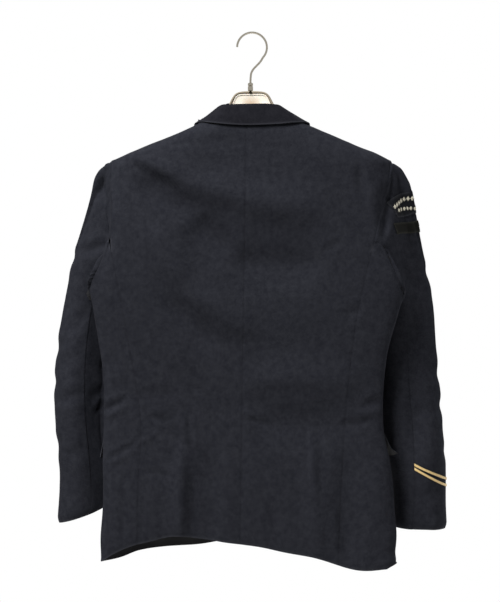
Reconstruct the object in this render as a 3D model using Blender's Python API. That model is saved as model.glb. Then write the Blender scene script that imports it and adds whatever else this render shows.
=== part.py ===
"""A tailored jacket on a moulded hanger, hung by its hook.

The frame has +X to the wearer's right, +Y towards the jacket's front and +Z up. The origin is the inside of
the hook's crown, where a rail carries it. Sizes below are in millimetres and drawn from the hanger's stem;
place() turns them into metres from the origin.

The cloth of the body is one surface, drawn as a ring at each height. A place on it is a height and a turn:
0 at the centre back, 0.5 at the side and 1 at the centre front, on the right (side 1) or left (side -1).
Each panel is a stretch of that surface with a wall, so that panels meet along true seams.
"""

from collections import namedtuple
from math import cos, pi, radians, sin

import bmesh
import bpy
import numpy as np

MM = 0.001
RIGHT, LEFT = 1, -1
SIDE_NAMES = {RIGHT: "right", LEFT: "left"}
CROWN = np.array([3.4, 0.0, 1.6])  # inside of the hook's crown, from the drawing's stem line

# Walls and gaps
CLOTH = 1.6
COLLAR_CLOTH = 2.2
TRIM_CLOTH = 1.0
SEAM = 0.15  # how far each panel's edge stands back from its seam line
SLEEVE_SEAM = 0.3  # the same along a sleeve's long seams
LIE = 0.45  # how far a piece lies off the cloth under it

# Heights on the body
HEM_LEVEL = -885.0
NOTCH = -354.0  # top of the seam between back and side panel
FRONT_PITCH = -400.0  # top of the seam between side panel and front
TIP = -214.0  # end of the shoulder seam
NECK = -143.5  # neck end of the shoulder seam
BREAK = -590.0  # where the lapels begin to roll
GORGE = -207.0  # where lapel and collar meet on the roll line

# The body at a height: centre line, width right and left of it, and depth of the back and the front.
Level = namedtuple("Level", "z centre right left back front")
LEVELS = [
    Level(-905, -17.3, 262.0, 235.5, 56, 52),
    Level(-819, -16.2, 264.0, 235.0, 54, 50),
    Level(-736, -15.0, 258.5, 236.5, 51, 49),
    Level(-669, -14.0, 241.5, 235.5, 48, 47),
    Level(-620, -13.3, 239.5, 234.5, 47, 46),
    Level(-568, -12.5, 243.5, 237.0, 49, 48),
    Level(-535, -12.0, 246.5, 244.0, 51, 50),
    Level(-482, -11.0, 262.0, 254.0, 53, 51),
    Level(-446, -10.5, 270.0, 260.5, 54, 52),
    Level(-354, -9.3, 262.0, 250.0, 54, 50),
    Level(-300, -8.5, 258.0, 244.0, 53, 47),
    Level(-245, -7.8, 252.0, 233.0, 50, 43),
    Level(-214, -7.5, 247.5, 226.5, 48, 40),
    Level(-194.5, -7.2, 200.5, 183.5, 46, 38),
    Level(-174, -6.8, 153.0, 131.0, 44, 35),
    Level(-161, -6.5, 123.0, 100.0, 42, 33),
    Level(-152, -6.2, 100.0, 82.0, 40, 31),
    Level(-143, -6.0, 79.0, 67.0, 38, 30),
]

# The ring's shape as shares of those widths and depths: under the arm, and over the shoulders.
Turn = namedtuple("Turn", "turn low_x low_y high_x high_y")
TURNS = [
    Turn(0.00, 0.000, -1.00, 0.00, -1.00),
    Turn(0.20, 0.420, -1.01, 0.45, -1.00),
    Turn(0.36, 0.760, -0.97, 0.80, -0.80),
    Turn(0.46, 0.945, -0.85, 0.96, -0.45),
    Turn(0.50, 1.000, -0.66, 1.00, 0.00),
    Turn(0.56, 0.955, -0.30, 0.95, 0.48),
    Turn(0.64, 0.850, 0.15, 0.83, 0.77),
    Turn(0.74, 0.720, 0.58, 0.66, 0.92),
    Turn(0.86, 0.420, 0.90, 0.36, 1.00),
    Turn(1.00, 0.000, 1.00, 0.00, 1.00),
]
UNDER_ARM, OVER_ARM = -440.0, -225.0  # the ring's shape changes between these heights

# The hem's height round the body.
Hem = namedtuple("Hem", "turn right left")
HEMS = [
    Hem(0.00, -859.0, -859.0),
    Hem(0.06, -863.5, -855.5),
    Hem(0.13, -872.0, -849.5),
    Hem(0.22, -881.0, -844.5),
    Hem(0.30, -894.0, -854.0),
    Hem(0.37, -903.0, -862.5),
    Hem(0.43, -903.0, -874.0),
    Hem(0.50, -894.0, -889.5),
    Hem(0.60, -892.0, -891.0),
    Hem(0.72, -886.0, -882.0),
    Hem(0.82, -879.0, -876.5),
    Hem(0.88, -876.5, -875.0),
    Hem(0.92, -873.0, -873.0),
    Hem(0.96, -867.0, -867.0),
    Hem(1.00, -867.0, -867.0),
]

# The seam between back and side panel: its distance out at a height.
Seam = namedtuple("Seam", "z right left")
BACK_SEAM = [
    Seam(-905, 148, 189),
    Seam(-761, 152, 186),
    Seam(-684, 155, 182),
    Seam(-596, 163, 191),
    Seam(-485, 177, 210),
    Seam(-410, 192, 224),
    Seam(-354, 207, 236),
]
FRONT_SEAM_TURN = 0.69

# The armhole: its back and front edges at a height, and its lowest stretch at a turn.
ARMHOLE_BACK = [
    Seam(-354, 207, 236),
    Seam(-324, 214, 232),
    Seam(-289, 224, 232),
    Seam(-247, 234, 236),
    Seam(-214, 240, 234),
]
ARMHOLE_FRONT = [
    Seam(-400, 193, 192),
    Seam(-350, 187, 188),
    Seam(-305, 192, 193),
    Seam(-265, 206, 206),
    Seam(-232, 225, 224),
    Seam(-214, 240, 234),
]
Pit = namedtuple("Pit", "turn right left")
PITS = [
    Pit(0.395, -354, -354),
    Pit(0.430, -384, -376),
    Pit(0.460, -414, -402),
    Pit(0.500, -446, -434),
    Pit(0.545, -453, -444),
    Pit(0.600, -447, -440),
    Pit(0.650, -426, -423),
    Pit(0.690, -400, -400),
]

# The front's inner edge at a height: neckline, roll line, front edge and cutaway.
# A minus sign is past the centre front.
Edge = namedtuple("Edge", "z out")
INNER_EDGE = [
    Edge(-905, 92),
    Edge(-868, 45),
    Edge(-855, 29),
    Edge(-832, 10),
    Edge(-795, -5),
    Edge(-750, -12),
    Edge(-690, -18),
    Edge(-590, -18),
    Edge(-207, 57),
    Edge(-180, 65),
    Edge(-158, 71),
    Edge(-143.5, 74),
]
LAPEL_EDGE = [
    Edge(-592, -15),
    Edge(-575, -4),
    Edge(-535, 20),
    Edge(-490, 45),
    Edge(-440, 71),
    Edge(-395, 93),
    Edge(-345, 113),
    Edge(-300, 129),
    Edge(-250, 143),
]
LAPEL_DROP = 43.0  # how far the lapel's point hangs below the gorge
LAPEL_SPRING = 3.0  # how far the lapel stands off the front near its roll
LAPEL_ROLL = 0.3  # how far the middle of its roll lies past the front's edge
FOLD_RADIUS = 1.0
OVERLAP = 5.0  # how far the left front is lifted where it lies on the right one
OVERLAP_FROM, OVERLAP_TO = 72.0, 24.0

# The largest folds of the back: soft troughs, and ridges where the depth is below 0.
Fold = namedtuple("Fold", "x0 z0 x1 z1 width depth")
FOLDS = [
    Fold(-182, -222, -60, -272, 17, -3.0),
    Fold(-85, -262, 112, -310, 28, -4.5),
    Fold(-186, -250, -95, -318, 19, 3.5),
    Fold(-105, -326, -28, -382, 26, 4.0),
    Fold(-40, -388, 118, -390, 26, 4.0),
    Fold(-172, -332, -96, -430, 24, -3.5),
    Fold(-100, -428, 8, -508, 26, -3.5),
    Fold(-150, -440, -56, -548, 24, 3.0),
    Fold(-18, -598, 184, -596, 26, -4.0),
    Fold(6, -662, 204, -664, 24, 3.0),
    Fold(-117, -706, -120, -872, 17, -3.5),
    Fold(-70, -706, -66, -866, 21, 4.0),
    Fold(102, -706, 120, -884, 18, -3.5),
    Fold(162, -706, 172, -888, 21, 3.5),
]

# A sleeve at a height: outer edge, width, place and depth front to back.
Arm = namedtuple("Arm", "z outer width middle depth")
ARMS = {
    RIGHT: [
        Arm(-470, 320.0, 114, 50, 108),
        Arm(-540, 323.5, 110, 46, 104),
        Arm(-610, 328.0, 106, 40, 100),
        Arm(-680, 334.0, 100, 37, 94),
        Arm(-750, 339.0, 95, 38, 90),
        Arm(-837, 337.5, 90, 42, 86),
    ],
    LEFT: [
        Arm(-470, 324.5, 114, 50, 108),
        Arm(-540, 335.5, 110, 46, 104),
        Arm(-610, 338.7, 106, 40, 100),
        Arm(-680, 335.0, 100, 37, 94),
        Arm(-740, 329.0, 96, 38, 90),
        Arm(-816, 331.5, 92, 42, 86),
    ],
}
# The outside of the sleeve above that: its distance out at a height.
SLEEVE_HEADS = [
    Seam(-214, 240.0, 234.0),
    Seam(-223, 252.0, 246.5),
    Seam(-233, 260.8, 257.8),
    Seam(-246, 269.8, 264.7),
    Seam(-267, 277.2, 270.4),
    Seam(-287, 281.4, 276.1),
    Seam(-307, 285.5, 283.5),
    Seam(-328, 292.0, 290.6),
    Seam(-348, 296.1, 298.2),
    Seam(-369, 300.7, 305.2),
    Seam(-410, 309.6, 313.6),
    Seam(-451, 317.3, 320.9),
    Seam(-470, 320.0, 324.5),
]
CUFF_TILT = {RIGHT: radians(1.0), LEFT: radians(16.5)}
TILT_LENGTH = 130.0  # the cuff's tilt fades out over this much of the sleeve
HIND_TOP, HIND_CUFF = radians(84), radians(111)  # where the hind seam falls, from the sleeve's outside
PITCH_ANGLE = radians(190)  # where the front pitch falls
FORE_SEAM_STEPS = 2  # columns from the front pitch to the forearm seam
CAP_OUT, CAP_DOWN = 0.42, 0.85  # how full the sleeve head is, and how early it hangs straight
SLEEVE_CLEAR = 2.0  # the under sleeve stays this far off the side panel
SLEEVE_DIP = 0.6  # and for each mm above the armhole's edge it may lie this much deeper
SLEEVE_TURNS, SLEEVE_LEVELS = np.linspace(0.3, 0.8, 51), np.linspace(-560, NOTCH, 60)
CAP_LIFT = 42.0  # how much it rises off the armhole seam

# Rows and columns of the panels
LOWER_STEPS, ARMHOLE_STEPS, SHOULDER_STEPS = 13, 7, 5
BACK_COLUMNS, SIDE_COLUMNS, FRONT_COLUMNS = 12, 8, 10
CAP_STEPS, ARM_STEPS = 7, 9
LAPEL_STEPS, LAPEL_COLUMNS = 11, 5

# The collar: fold and outer edge at stations from the centre back to the gorge, with the notch in its end.
COLLAR_CENTRE = 3.5
Station = namedtuple("Station", "along fold_x fold_y fold_z face edge_x edge_z belly notch")
STATIONS = [
    Station(0.00, 0, -37, -122.5, "back", 0, -160, 6, 0),
    Station(0.22, 30, -33, -122.5, "back", 48, -158, 6, 0),
    Station(0.40, 45, -18, -123.6, "back", 77, -155.5, 3, 0),
    Station(0.50, 49, 0, -126.0, "ridge", 0, -154.5, 0, 0),
    Station(0.62, 52, 19, -136.0, "front", 99, -168, 2, 0),
    Station(0.80, 55, 37, -161.0, "front", 109, -190, 4, 0),
    Station(1.00, 57, 47, -203.3, "front", 118, -207.5, 3, -21.5),
]
NOTCH_AT = 0.75  # how far along the collar's end the notch lies
COLLAR_STEPS = 12  # cross-sections on a side, closest over the shoulder
COLLAR_CLOSING = 1.4
COLLAR_FOLD_RADIUS = 2.6
COLLAR_CLEAR = 3.4  # the middle of its wall stays this far off the cloth under it
FALL_STEPS, STAND_STEPS, ARC_STEPS = 8, 2, 5
COLLAR_TURNS, COLLAR_LEVELS = np.linspace(0, 1, 81), np.linspace(-245, NECK, 50)  # where it may touch

# Hip pocket flaps
FLAP_TOP, FLAP_BOTTOM = -669.0, -718.0
FLAP_BACK_TURN, FLAP_FRONT_TURN = 0.545, 0.875
FLAP_FLARE = {RIGHT: 15.0, LEFT: 6.0}
FLAP_LIE, FLAP_SLACK = 1.2, 1.2  # how far it lies off the cloth, and how much more at its back end
FLAP_HANG = 1.5  # how much further off its lower edge lies
FLAP_COLUMNS, FLAP_ROWS = 10, 3

# Trim on the right sleeve; columns count from its outside, those of the back first
BRAID_TOPS = (-729.0, -737.5)  # heights of the two stripes at the hind seam
BRAID_WIDTH = 4.2
BRAID_DROP = 33.0  # how far a stripe comes down by the outside of the cuff
BRAID_COLUMNS = range(7, -6, -1)
Patch = namedtuple("Patch", "column top bottom")
BAND = [
    Patch(4.4, -321.5, -340.0),
    Patch(3.7, -320.0, -338.5),
    Patch(3.0, -318.8, -337.3),
    Patch(2.0, -317.0, -335.7),
    Patch(1.0, -315.5, -334.3),
    Patch(0.0, -314.3, -333.2),
    Patch(-1.0, -314.0, -333.0),
    Patch(-2.0, -314.5, -333.6),
    Patch(-3.0, -316.0, -335.4),
]
BADGE = [
    Patch(3.4, -284.0, -310.0),
    Patch(2.7, -275.5, -308.5),
    Patch(2.0, -270.0, -306.5),
    Patch(1.0, -266.0, -303.0),
    Patch(0.0, -265.5, -300.0),
    Patch(-0.6, -268.0, -299.0),
    Patch(-1.0, -275.0, -299.0),
]
PATCH_LIE, PATCH_ROWS = 1.6, 4

# Buttons
BUTTON_RADIUS, BUTTON_THICK, BUTTON_RIM = 10.0, 3.6, 1.6
BUTTON_DISH, BUTTON_EDGE = 1.0, 0.9  # how deep its face is dished, and the round of its edge
BUTTON_BACK, BUTTON_BEVEL = 2.0, 1.3  # how far its back slopes in, and how high
BUTTON_HEIGHTS = (-612.0, -712.0)
BUTTON_OFF = 1.2  # its shank's length
SHANK_RADIUS, SHANK_BORE = 2.4, 0.4

# Hanger
HOOK_WIRE, HOOK_RADIUS = 1.75, 25.3
HOOK_START, HOOK_END = -48, 178  # degrees round the hook's circle
HOOK_STEP = 10
HOOK_FOOT = 0.6  # how far above the ferrule's foot its stem ends
STEM = [(0.8, -84.0), (1.2, -72.0), (2.4, -65.0), (5.2, -59.6), (11.5, -52.6)]  # up to where the bend starts
FERRULE_TOP, FERRULE_BOTTOM, FERRULE_RADIUS = -82.3, -95.9, 4.4
FERRULE_AT, FERRULE_PLAY = 0.75, 0.35  # its place off the stem line, and the room round the wire in its bore
FERRULE_SHOULDER, FERRULE_NECK = (7.5, 9.0), 0.9  # heights where it draws in, and by how much
FERRULE_ROUND = (0.5, 0.6)  # the bevel of its top, in and down
Rib = namedtuple("Rib", "x z high deep")
HANGER_RIBS = [  # the hanger's moulding from its centre out to the tip
    Rib(0, -98.8, 5.2, 10),
    Rib(17, -98.9, 5.0, 10),
    Rib(25, -101.0, 4.6, 10),
    Rib(29.5, -106.0, 4.5, 11),
    Rib(33.5, -114.0, 4.6, 12),
    Rib(39, -125.5, 5.6, 13),
    Rib(47, -138.5, 9.0, 14),
    Rib(60, -148.7, 13.0, 15),
    Rib(85, -160.7, 14.5, 17),
    Rib(115, -174.8, 15.5, 20),
    Rib(150, -190.0, 16.5, 25),
    Rib(180, -203.4, 17.5, 30),
    Rib(203, -214.2, 17.0, 32),
    Rib(214, -220.2, 13.0, 24),
    Rib(218, -222.7, 7.0, 12),
]
HANGER_TILT = 0.008  # the shoulders hang slightly aslant, higher on the right
NECK_RIBS, NECK_SHIFT = 6, 2.2  # the ribs from the centre that make its neck, and its shift to the right
RIB_POINTS = 10
RIB_SHARPNESS = 0.75  # under 1 squares the section's corners
WEB_THICK, WEB_GAP = 2.4, 0.15  # the web that fills the neck's arch, and its gap to the moulding


class Curve:
    """A smooth curve through a table's rows, which never overshoots them."""

    def __init__(self, keys, rows):
        order = np.argsort(keys)
        self.keys = np.asarray(keys, float)[order]
        self.rows = np.asarray(rows, float)[order]
        rise = np.diff(self.rows, axis=0) / np.diff(self.keys)[:, None]
        before, after = rise[:-1], rise[1:]
        same = before * after > 0
        mean = np.where(same, 2 * before * after / np.where(same, before + after, 1), 0)
        self.slopes = np.vstack([rise[:1], mean, rise[-1:]])

    def __call__(self, at):
        i = int(np.clip(np.searchsorted(self.keys, at) - 1, 0, len(self.keys) - 2))
        step = self.keys[i + 1] - self.keys[i]
        f = min(max((at - self.keys[i]) / step, 0.0), 1.0)
        near = (1 + 2 * f) * (1 - f) ** 2 * self.rows[i] + step * f * (1 - f) ** 2 * self.slopes[i]
        far = f * f * (3 - 2 * f) * self.rows[i + 1] - step * f * f * (1 - f) * self.slopes[i + 1]
        return near + far


def curve_of(table, key, *columns):
    """The smooth curve through some of a table's columns."""
    rows = [[getattr(row, column) for column in columns] for row in table]
    return Curve([getattr(row, key) for row in table], rows)


def mirrored_turns():
    """The ring's table, carried on past both ends so that it crosses the centre lines smoothly."""
    rows = [(t.turn, t.low_x, t.low_y, t.high_x, t.high_y) for t in TURNS]
    before = [(-t, -lx, ly, -hx, hy) for t, lx, ly, hx, hy in rows[1:3]]
    after = [(2 - t, -lx, ly, -hx, hy) for t, lx, ly, hx, hy in rows[-3:-1]]
    rows = before + rows + after
    return Curve([row[0] for row in rows], [row[1:] for row in rows])


LEVEL = curve_of(LEVELS, "z", "centre", "right", "left", "back", "front")
RING = mirrored_turns()
HEM = curve_of(HEMS, "turn", "right", "left")
BACK_SEAM_OUT = curve_of(BACK_SEAM, "z", "right", "left")
ARMHOLE_BACK_OUT = curve_of(ARMHOLE_BACK, "z", "right", "left")
ARMHOLE_FRONT_OUT = curve_of(ARMHOLE_FRONT, "z", "right", "left")
PIT = curve_of(PITS, "turn", "right", "left")
INNER_OUT = curve_of(INNER_EDGE, "z", "out")
LAPEL_OUT = curve_of(LAPEL_EDGE, "z", "out")
HEAD_OUT = curve_of(SLEEVE_HEADS, "z", "right", "left")
ARM = {side: curve_of(ARMS[side], "z", "outer", "width", "middle", "depth") for side in ARMS}


def of_side(values, side):
    """The right or left entry of a pair."""
    return values[0] if side == RIGHT else values[1]


def ease(value, start, end):
    """0 before start, 1 after end, and a soft step between."""
    f = min(max((value - start) / (end - start), 0.0), 1.0)
    return f * f * (3 - 2 * f)


def mix(a, b, f):
    return a + (b - a) * f


def unit(vector):
    return vector / np.linalg.norm(vector)


def fold_depth(x, z):
    """How far the back's folds push the cloth in here."""
    total = 0.0
    for fold in FOLDS:
        along = np.array([fold.x1 - fold.x0, fold.z1 - fold.z0])
        length = np.linalg.norm(along)
        along = along / length
        run = (x - fold.x0) * along[0] + (z - fold.z0) * along[1]
        off = (x - fold.x0) * along[1] - (z - fold.z0) * along[0]
        start = ease(run, -0.5 * fold.width, fold.width)
        end = 1 - ease(run, length - fold.width, length + 0.5 * fold.width)
        total += fold.depth * start * end * np.exp(-((off / fold.width) ** 2))
    return total


def body(side, turn, z):
    """The place on the body's cloth at this turn and height."""
    if turn > 1:
        side, turn = -side, 2 - turn
    if turn < 0:
        side, turn = -side, -turn
    centre, right, left, back, front = LEVEL(z)
    low_x, low_y, high_x, high_y = RING(turn)
    shape = ease(z, UNDER_ARM, OVER_ARM)
    share_x, share_y = mix(low_x, high_x, shape), mix(low_y, high_y, shape)
    x = centre + side * (right if side == RIGHT else left) * share_x
    y = share_y * (back if share_y < 0 else front)
    if turn < 0.5:
        y += fold_depth(x, z) * (1 - ease(turn, 0.42, 0.5))
    return np.array([x, y, z])


def outward(side, turn, z, surface=body):
    """The direction out of the cloth."""
    across = surface(side, turn + 0.004, z) - surface(side, turn - 0.004, z)
    up = surface(side, turn, z + 1.0) - surface(side, turn, z - 1.0)
    return side * unit(np.cross(across, up))


def turn_at(side, out, z, face):
    """The turn on the back or the front at which the cloth stands this far out from the stem line."""
    low, high = (0.0, 0.5) if face == "back" else (0.5, 1.2)
    for _ in range(24):
        middle = (low + high) / 2
        beyond = side * body(side, middle, z)[0] > out
        if beyond == (face == "back"):
            high = middle
        else:
            low = middle
    return (low + high) / 2


def front(side, turn, z):
    """The front's cloth: the left one is lifted where it laps over the right one."""
    point = body(side, turn, z)
    if side == LEFT and turn > 0.5:
        point[1] += OVERLAP * ease(point[0], -OVERLAP_FROM, -OVERLAP_TO)
    return point


def place(points):
    """Metres from the origin."""
    return (np.asarray(points, float) - CROWN) * MM


def material(name, colour, roughness, metallic=0.0):
    made = bpy.data.materials.new(name)
    made.use_nodes = True
    shader = made.node_tree.nodes["Principled BSDF"]
    shader.inputs["Base Color"].default_value = (*colour, 1.0)
    shader.inputs["Roughness"].default_value = roughness
    shader.inputs["Metallic"].default_value = metallic
    return made


def add_object(name, vertices, faces, finish, smooth_below=50):
    """One closed solid as an object, with its faces turned out and its round parts shaded smooth."""
    mesh = bpy.data.meshes.new(name)
    mesh.from_pydata([tuple(point) for point in vertices], [], faces)
    shape = bmesh.new()
    shape.from_mesh(mesh)
    bmesh.ops.recalc_face_normals(shape, faces=shape.faces)
    if shape.calc_volume(signed=True) < 0:
        bmesh.ops.reverse_faces(shape, faces=shape.faces)
    shape.to_mesh(mesh)
    shape.free()
    mesh.shade_smooth()
    mesh.set_sharp_from_angle(angle=radians(smooth_below))
    mesh.materials.append(finish)
    made = bpy.data.objects.new(name, mesh)
    bpy.context.scene.collection.objects.link(made)
    return made


def add_wall(name, outer, inner, finish):
    """A cloth wall between two grids of points, closed round its edge."""
    rows, columns = outer.shape[:2]
    count = rows * columns
    number = np.arange(count).reshape(rows, columns)
    faces = []
    for i in range(rows - 1):
        for j in range(columns - 1):
            quad = (number[i, j], number[i, j + 1], number[i + 1, j + 1], number[i + 1, j])
            faces.append(tuple(int(n) for n in quad))
            faces.append(tuple(int(n) + count for n in reversed(quad)))
    rim = list(number[0]) + list(number[1:, -1]) + list(number[-1, -2::-1]) + list(number[-2:0:-1, 0])
    for a, b in zip(rim, rim[1:] + rim[:1]):
        faces.append((int(b), int(a), int(a) + count, int(b) + count))
    vertices = place(np.concatenate([outer.reshape(-1, 3), inner.reshape(-1, 3)]))
    return add_object(name, vertices, faces, finish)


def stand_back(outer, inner, gap=SEAM):
    """Draws the edges of both grids in from their seams by half the gap."""
    for grid, along in ((outer, outer.copy()), (inner, outer.copy())):
        for edge, inside in ((0, 1), (-1, -2)):
            grid[edge] += gap * np.array([unit(v) for v in along[inside] - along[edge]])
            grid[:, edge] += gap * np.array([unit(v) for v in along[:, inside] - along[:, edge]])


def add_panel(name, side, turns, heights, finish, surface=body):
    """A stretch of the body's surface, from grids of turns and heights, as a cloth wall."""
    rows, columns = turns.shape
    outer = np.empty((rows, columns, 3))
    inner = np.empty((rows, columns, 3))
    for i in range(rows):
        for j in range(columns):
            outer[i, j] = surface(side, turns[i, j], heights[i, j])
            inner[i, j] = outer[i, j] - CLOTH * outward(side, turns[i, j], heights[i, j], surface)
    stand_back(outer, inner)
    return add_wall(name, outer, inner, finish)


def grid_tangents(grid, axis):
    """The direction along one axis of a grid at each point: halfway between its two steps."""
    steps = np.diff(grid, axis=axis)
    steps = steps / np.linalg.norm(steps, axis=2, keepdims=True)
    first, last = np.take(steps, [0], axis=axis), np.take(steps, [-1], axis=axis)
    return np.concatenate([first, steps], axis=axis) + np.concatenate([steps, last], axis=axis)


def grid_normals(grid):
    """The direction square to a grid of points at each of them."""
    normals = np.cross(grid_tangents(grid, 0), grid_tangents(grid, 1))
    return normals / np.linalg.norm(normals, axis=2, keepdims=True)


def add_middle_wall(name, middle, thick, finish):
    """A cloth wall on both sides of a grid of points."""
    normals = grid_normals(middle)
    return add_wall(name, middle + normals * thick / 2, middle - normals * thick / 2, finish)


def lower_share(step):
    """How far up between the hem and the armhole a row stands; rows are closer near the hem."""
    return (step / LOWER_STEPS) ** 1.2


def lower_height(side, turn, share):
    """The height of a lower row at this turn."""
    return mix(of_side(HEM(turn), side), of_side(PIT(turn), side), share)


def back_seam_turn(side, share):
    z = mix(HEM_LEVEL, NOTCH, share)
    return turn_at(side, of_side(BACK_SEAM_OUT(z), side), z, "back")


def armhole_turn(side, z, face):
    """The turn of the armhole's edge at a height, up to the shoulder seam."""
    if z > TIP - 0.01:
        return 0.5
    table = ARMHOLE_BACK_OUT if face == "back" else ARMHOLE_FRONT_OUT
    return turn_at(side, of_side(table(z), side), z, face)


def neck_height(turn, level):
    """The height of an upper row: the back neck dips below the shoulder's neck point."""
    dip = 8.5 * (1 - ease(turn, 0.0, 0.5))
    return level - dip * ease(level, TIP, NECK)


def upper_levels(bottom):
    """The heights of the rows from the top of a lower panel to the neck."""
    armhole = np.linspace(bottom, TIP, ARMHOLE_STEPS + 1)
    shoulder = [mix(NECK, TIP, (1 - step / SHOULDER_STEPS) ** 1.5) for step in range(1, SHOULDER_STEPS + 1)]
    return list(armhole[1:]) + shoulder


def add_back(side, finish):
    """Half the back, from the centre back seam to the side panel, armhole and shoulder."""
    shares = np.linspace(0, 1, BACK_COLUMNS + 1)
    turns, heights = [], []
    for step in range(LOWER_STEPS + 1):
        share = lower_share(step)
        row = shares * back_seam_turn(side, share)
        turns.append(row)
        heights.append([mix(of_side(HEM(turn), side), NOTCH, share) for turn in row])
    for level in upper_levels(NOTCH):
        row = shares * armhole_turn(side, level, "back")
        turns.append(row)
        heights.append([neck_height(turn, level) for turn in row])
    return add_panel(f"back_{SIDE_NAMES[side]}", side, np.array(turns), np.array(heights), finish)


def under_shares():
    """The spacing of the columns from the notch round under the arm, closer at the notch."""
    return np.linspace(0, 1, SIDE_COLUMNS + 1) ** 1.3


def side_grid(side):
    """The side panel's turns and heights."""
    turns, heights = [], []
    for step in range(LOWER_STEPS + 1):
        share = lower_share(step)
        row = mix(back_seam_turn(side, share), FRONT_SEAM_TURN, under_shares())
        turns.append(row)
        heights.append([lower_height(side, turn, share) for turn in row])
        heights[-1][0] = mix(of_side(HEM(row[0]), side), NOTCH, share)
    return np.array(turns), np.array(heights)


def add_side_panel(side, finish):
    turns, heights = side_grid(side)
    return add_panel(f"side_panel_{SIDE_NAMES[side]}", side, turns, heights, finish)


def add_front(side, finish):
    """A front, from the side panel, armhole and shoulder to its neckline, roll line and cutaway edge."""
    turns, heights = [], []
    for step in range(LOWER_STEPS + 1):
        share = lower_share(step)
        level = mix(of_side(HEM(1.0), side), FRONT_PITCH, share)
        last = turn_at(side, INNER_OUT(level)[0], level, "front")
        row = np.linspace(FRONT_SEAM_TURN, last, FRONT_COLUMNS + 1)
        turns.append(row)
        heights.append([lower_height(side, turn, share) for turn in row])
    for level in upper_levels(FRONT_PITCH):
        first = armhole_turn(side, level, "front")
        last = turn_at(side, INNER_OUT(level)[0], level, "front")
        turns.append(np.linspace(first, last, FRONT_COLUMNS + 1))
        heights.append([level] * (FRONT_COLUMNS + 1))
    return add_panel(f"front_{SIDE_NAMES[side]}", side, np.array(turns), np.array(heights), finish, front)


def lapel_section():
    """The lapel across its roll, from its hidden edge: how far from the roll line and how high off the front."""
    section = []
    for step in range(ARC_STEPS):
        angle = -pi / 2 - pi * step / ARC_STEPS
        section.append((FOLD_RADIUS * cos(angle) - LAPEL_ROLL, LIE + FOLD_RADIUS * sin(angle)))
    for step in range(LAPEL_COLUMNS + 1):
        section.append((step / LAPEL_COLUMNS, LIE + FOLD_RADIUS))
    return section


def add_lapel(side, finish):
    """The turned-back part of a front, lying on it from the break to the gorge."""
    grid = []
    for step in range(LAPEL_STEPS + 1):
        share = step / LAPEL_STEPS
        roll_z = mix(BREAK + 2, GORGE, share)
        drop = LAPEL_DROP * share**2
        roll_out = INNER_OUT(roll_z)[0]
        edge_out = LAPEL_OUT(roll_z - drop)[0]
        spring = LAPEL_SPRING * ease(share, 0.3, 0.7)
        row = []
        for off, high in lapel_section():
            run = max(off, 0.0)
            z = roll_z - drop * run
            turn = turn_at(side, mix(roll_out, edge_out, run), z, "front")
            normal = outward(side, turn, z, front)
            high += spring * sin(pi * run) if off > 0 else 0.0
            point = front(side, turn, z) + normal * high
            if off < 0:
                beside = front(side, turn - 0.01, z) - front(side, turn, z)
                point += unit(beside) * off
            row.append(point)
        grid.append(row)
    return add_middle_wall(f"lapel_{SIDE_NAMES[side]}", np.array(grid), CLOTH, finish)


def armhole_loop(side):
    """Points round the armhole with the direction out of the cloth, from the shoulder tip down the back."""
    places = []
    for level in np.linspace(TIP, NOTCH, ARMHOLE_STEPS + 1):
        places.append((armhole_turn(side, level, "back"), neck_height(0.5, level)))
    turns, heights = side_grid(side)
    places += list(zip(turns[-1][1:], heights[-1][1:]))
    for level in np.linspace(FRONT_PITCH, TIP, ARMHOLE_STEPS + 1)[1:-1]:
        places.append((armhole_turn(side, level, "front"), level))
    points = np.array([body(side, turn, z) for turn, z in places])
    normals = np.array([outward(side, turn, z) for turn, z in places])
    return points, normals


def sleeve_angles(hind):
    """The angle round the sleeve of each column, from the outside round the back."""
    back = np.linspace(0, hind, ARMHOLE_STEPS + 1)
    under = mix(hind, PITCH_ANGLE, under_shares())
    front_part = np.linspace(PITCH_ANGLE, 2 * pi, ARMHOLE_STEPS + 1)
    return np.concatenate([back, under[1:], front_part[1:-1]])


def sleeve_ring(side, z, angles):
    """The sleeve's outline at a height."""
    outer, width, middle, depth = ARM[side](z)
    centre = outer - width / 2
    bottom = ARMS[side][-1].z
    tilt = np.tan(CUFF_TILT[side]) * (1 - ease(z, bottom, bottom + TILT_LENGTH))
    points = []
    for angle in angles:
        off = width / 2 * cos(angle)
        points.append((side * (centre + off), middle - depth / 2 * sin(angle), z - off * tilt))
    return np.array(points)


def cloth_places(side, turns, levels, clear_at):
    """Places on the body's cloth, the direction out of it at each, and how far other pieces keep off it."""
    points, normals, clears = [], [], []
    for level in levels:
        for turn in turns:
            z = neck_height(turn, level) if turn < 0.5 else level
            point = front(side, turn, z)
            if turn < 0.5 or side * point[0] > INNER_OUT(z)[0] - 1:
                points.append(point)
                normals.append(outward(side, turn, z, front))
                clears.append(clear_at(turn, z))
    return np.array(points), np.array(normals), np.array(clears)


def kept_off(point, cloth):
    """The point, moved out where it is too near the cloth nearest to it."""
    points, normals, clears = cloth
    nearest = np.argmin(((points - point) ** 2).sum(axis=1))
    off = (point - points[nearest]).dot(normals[nearest])
    return point + normals[nearest] * max(clears[nearest] - off, 0.0)


def side_cloth(side):
    """The side panel for the sleeve to keep off; above the armhole's edge the sleeve may lie ever deeper."""

    def clear_at(turn, z):
        return SLEEVE_CLEAR - SLEEVE_DIP * max(z - of_side(PIT(turn), side), 0.0)

    return cloth_places(side, SLEEVE_TURNS, SLEEVE_LEVELS, clear_at)


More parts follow.
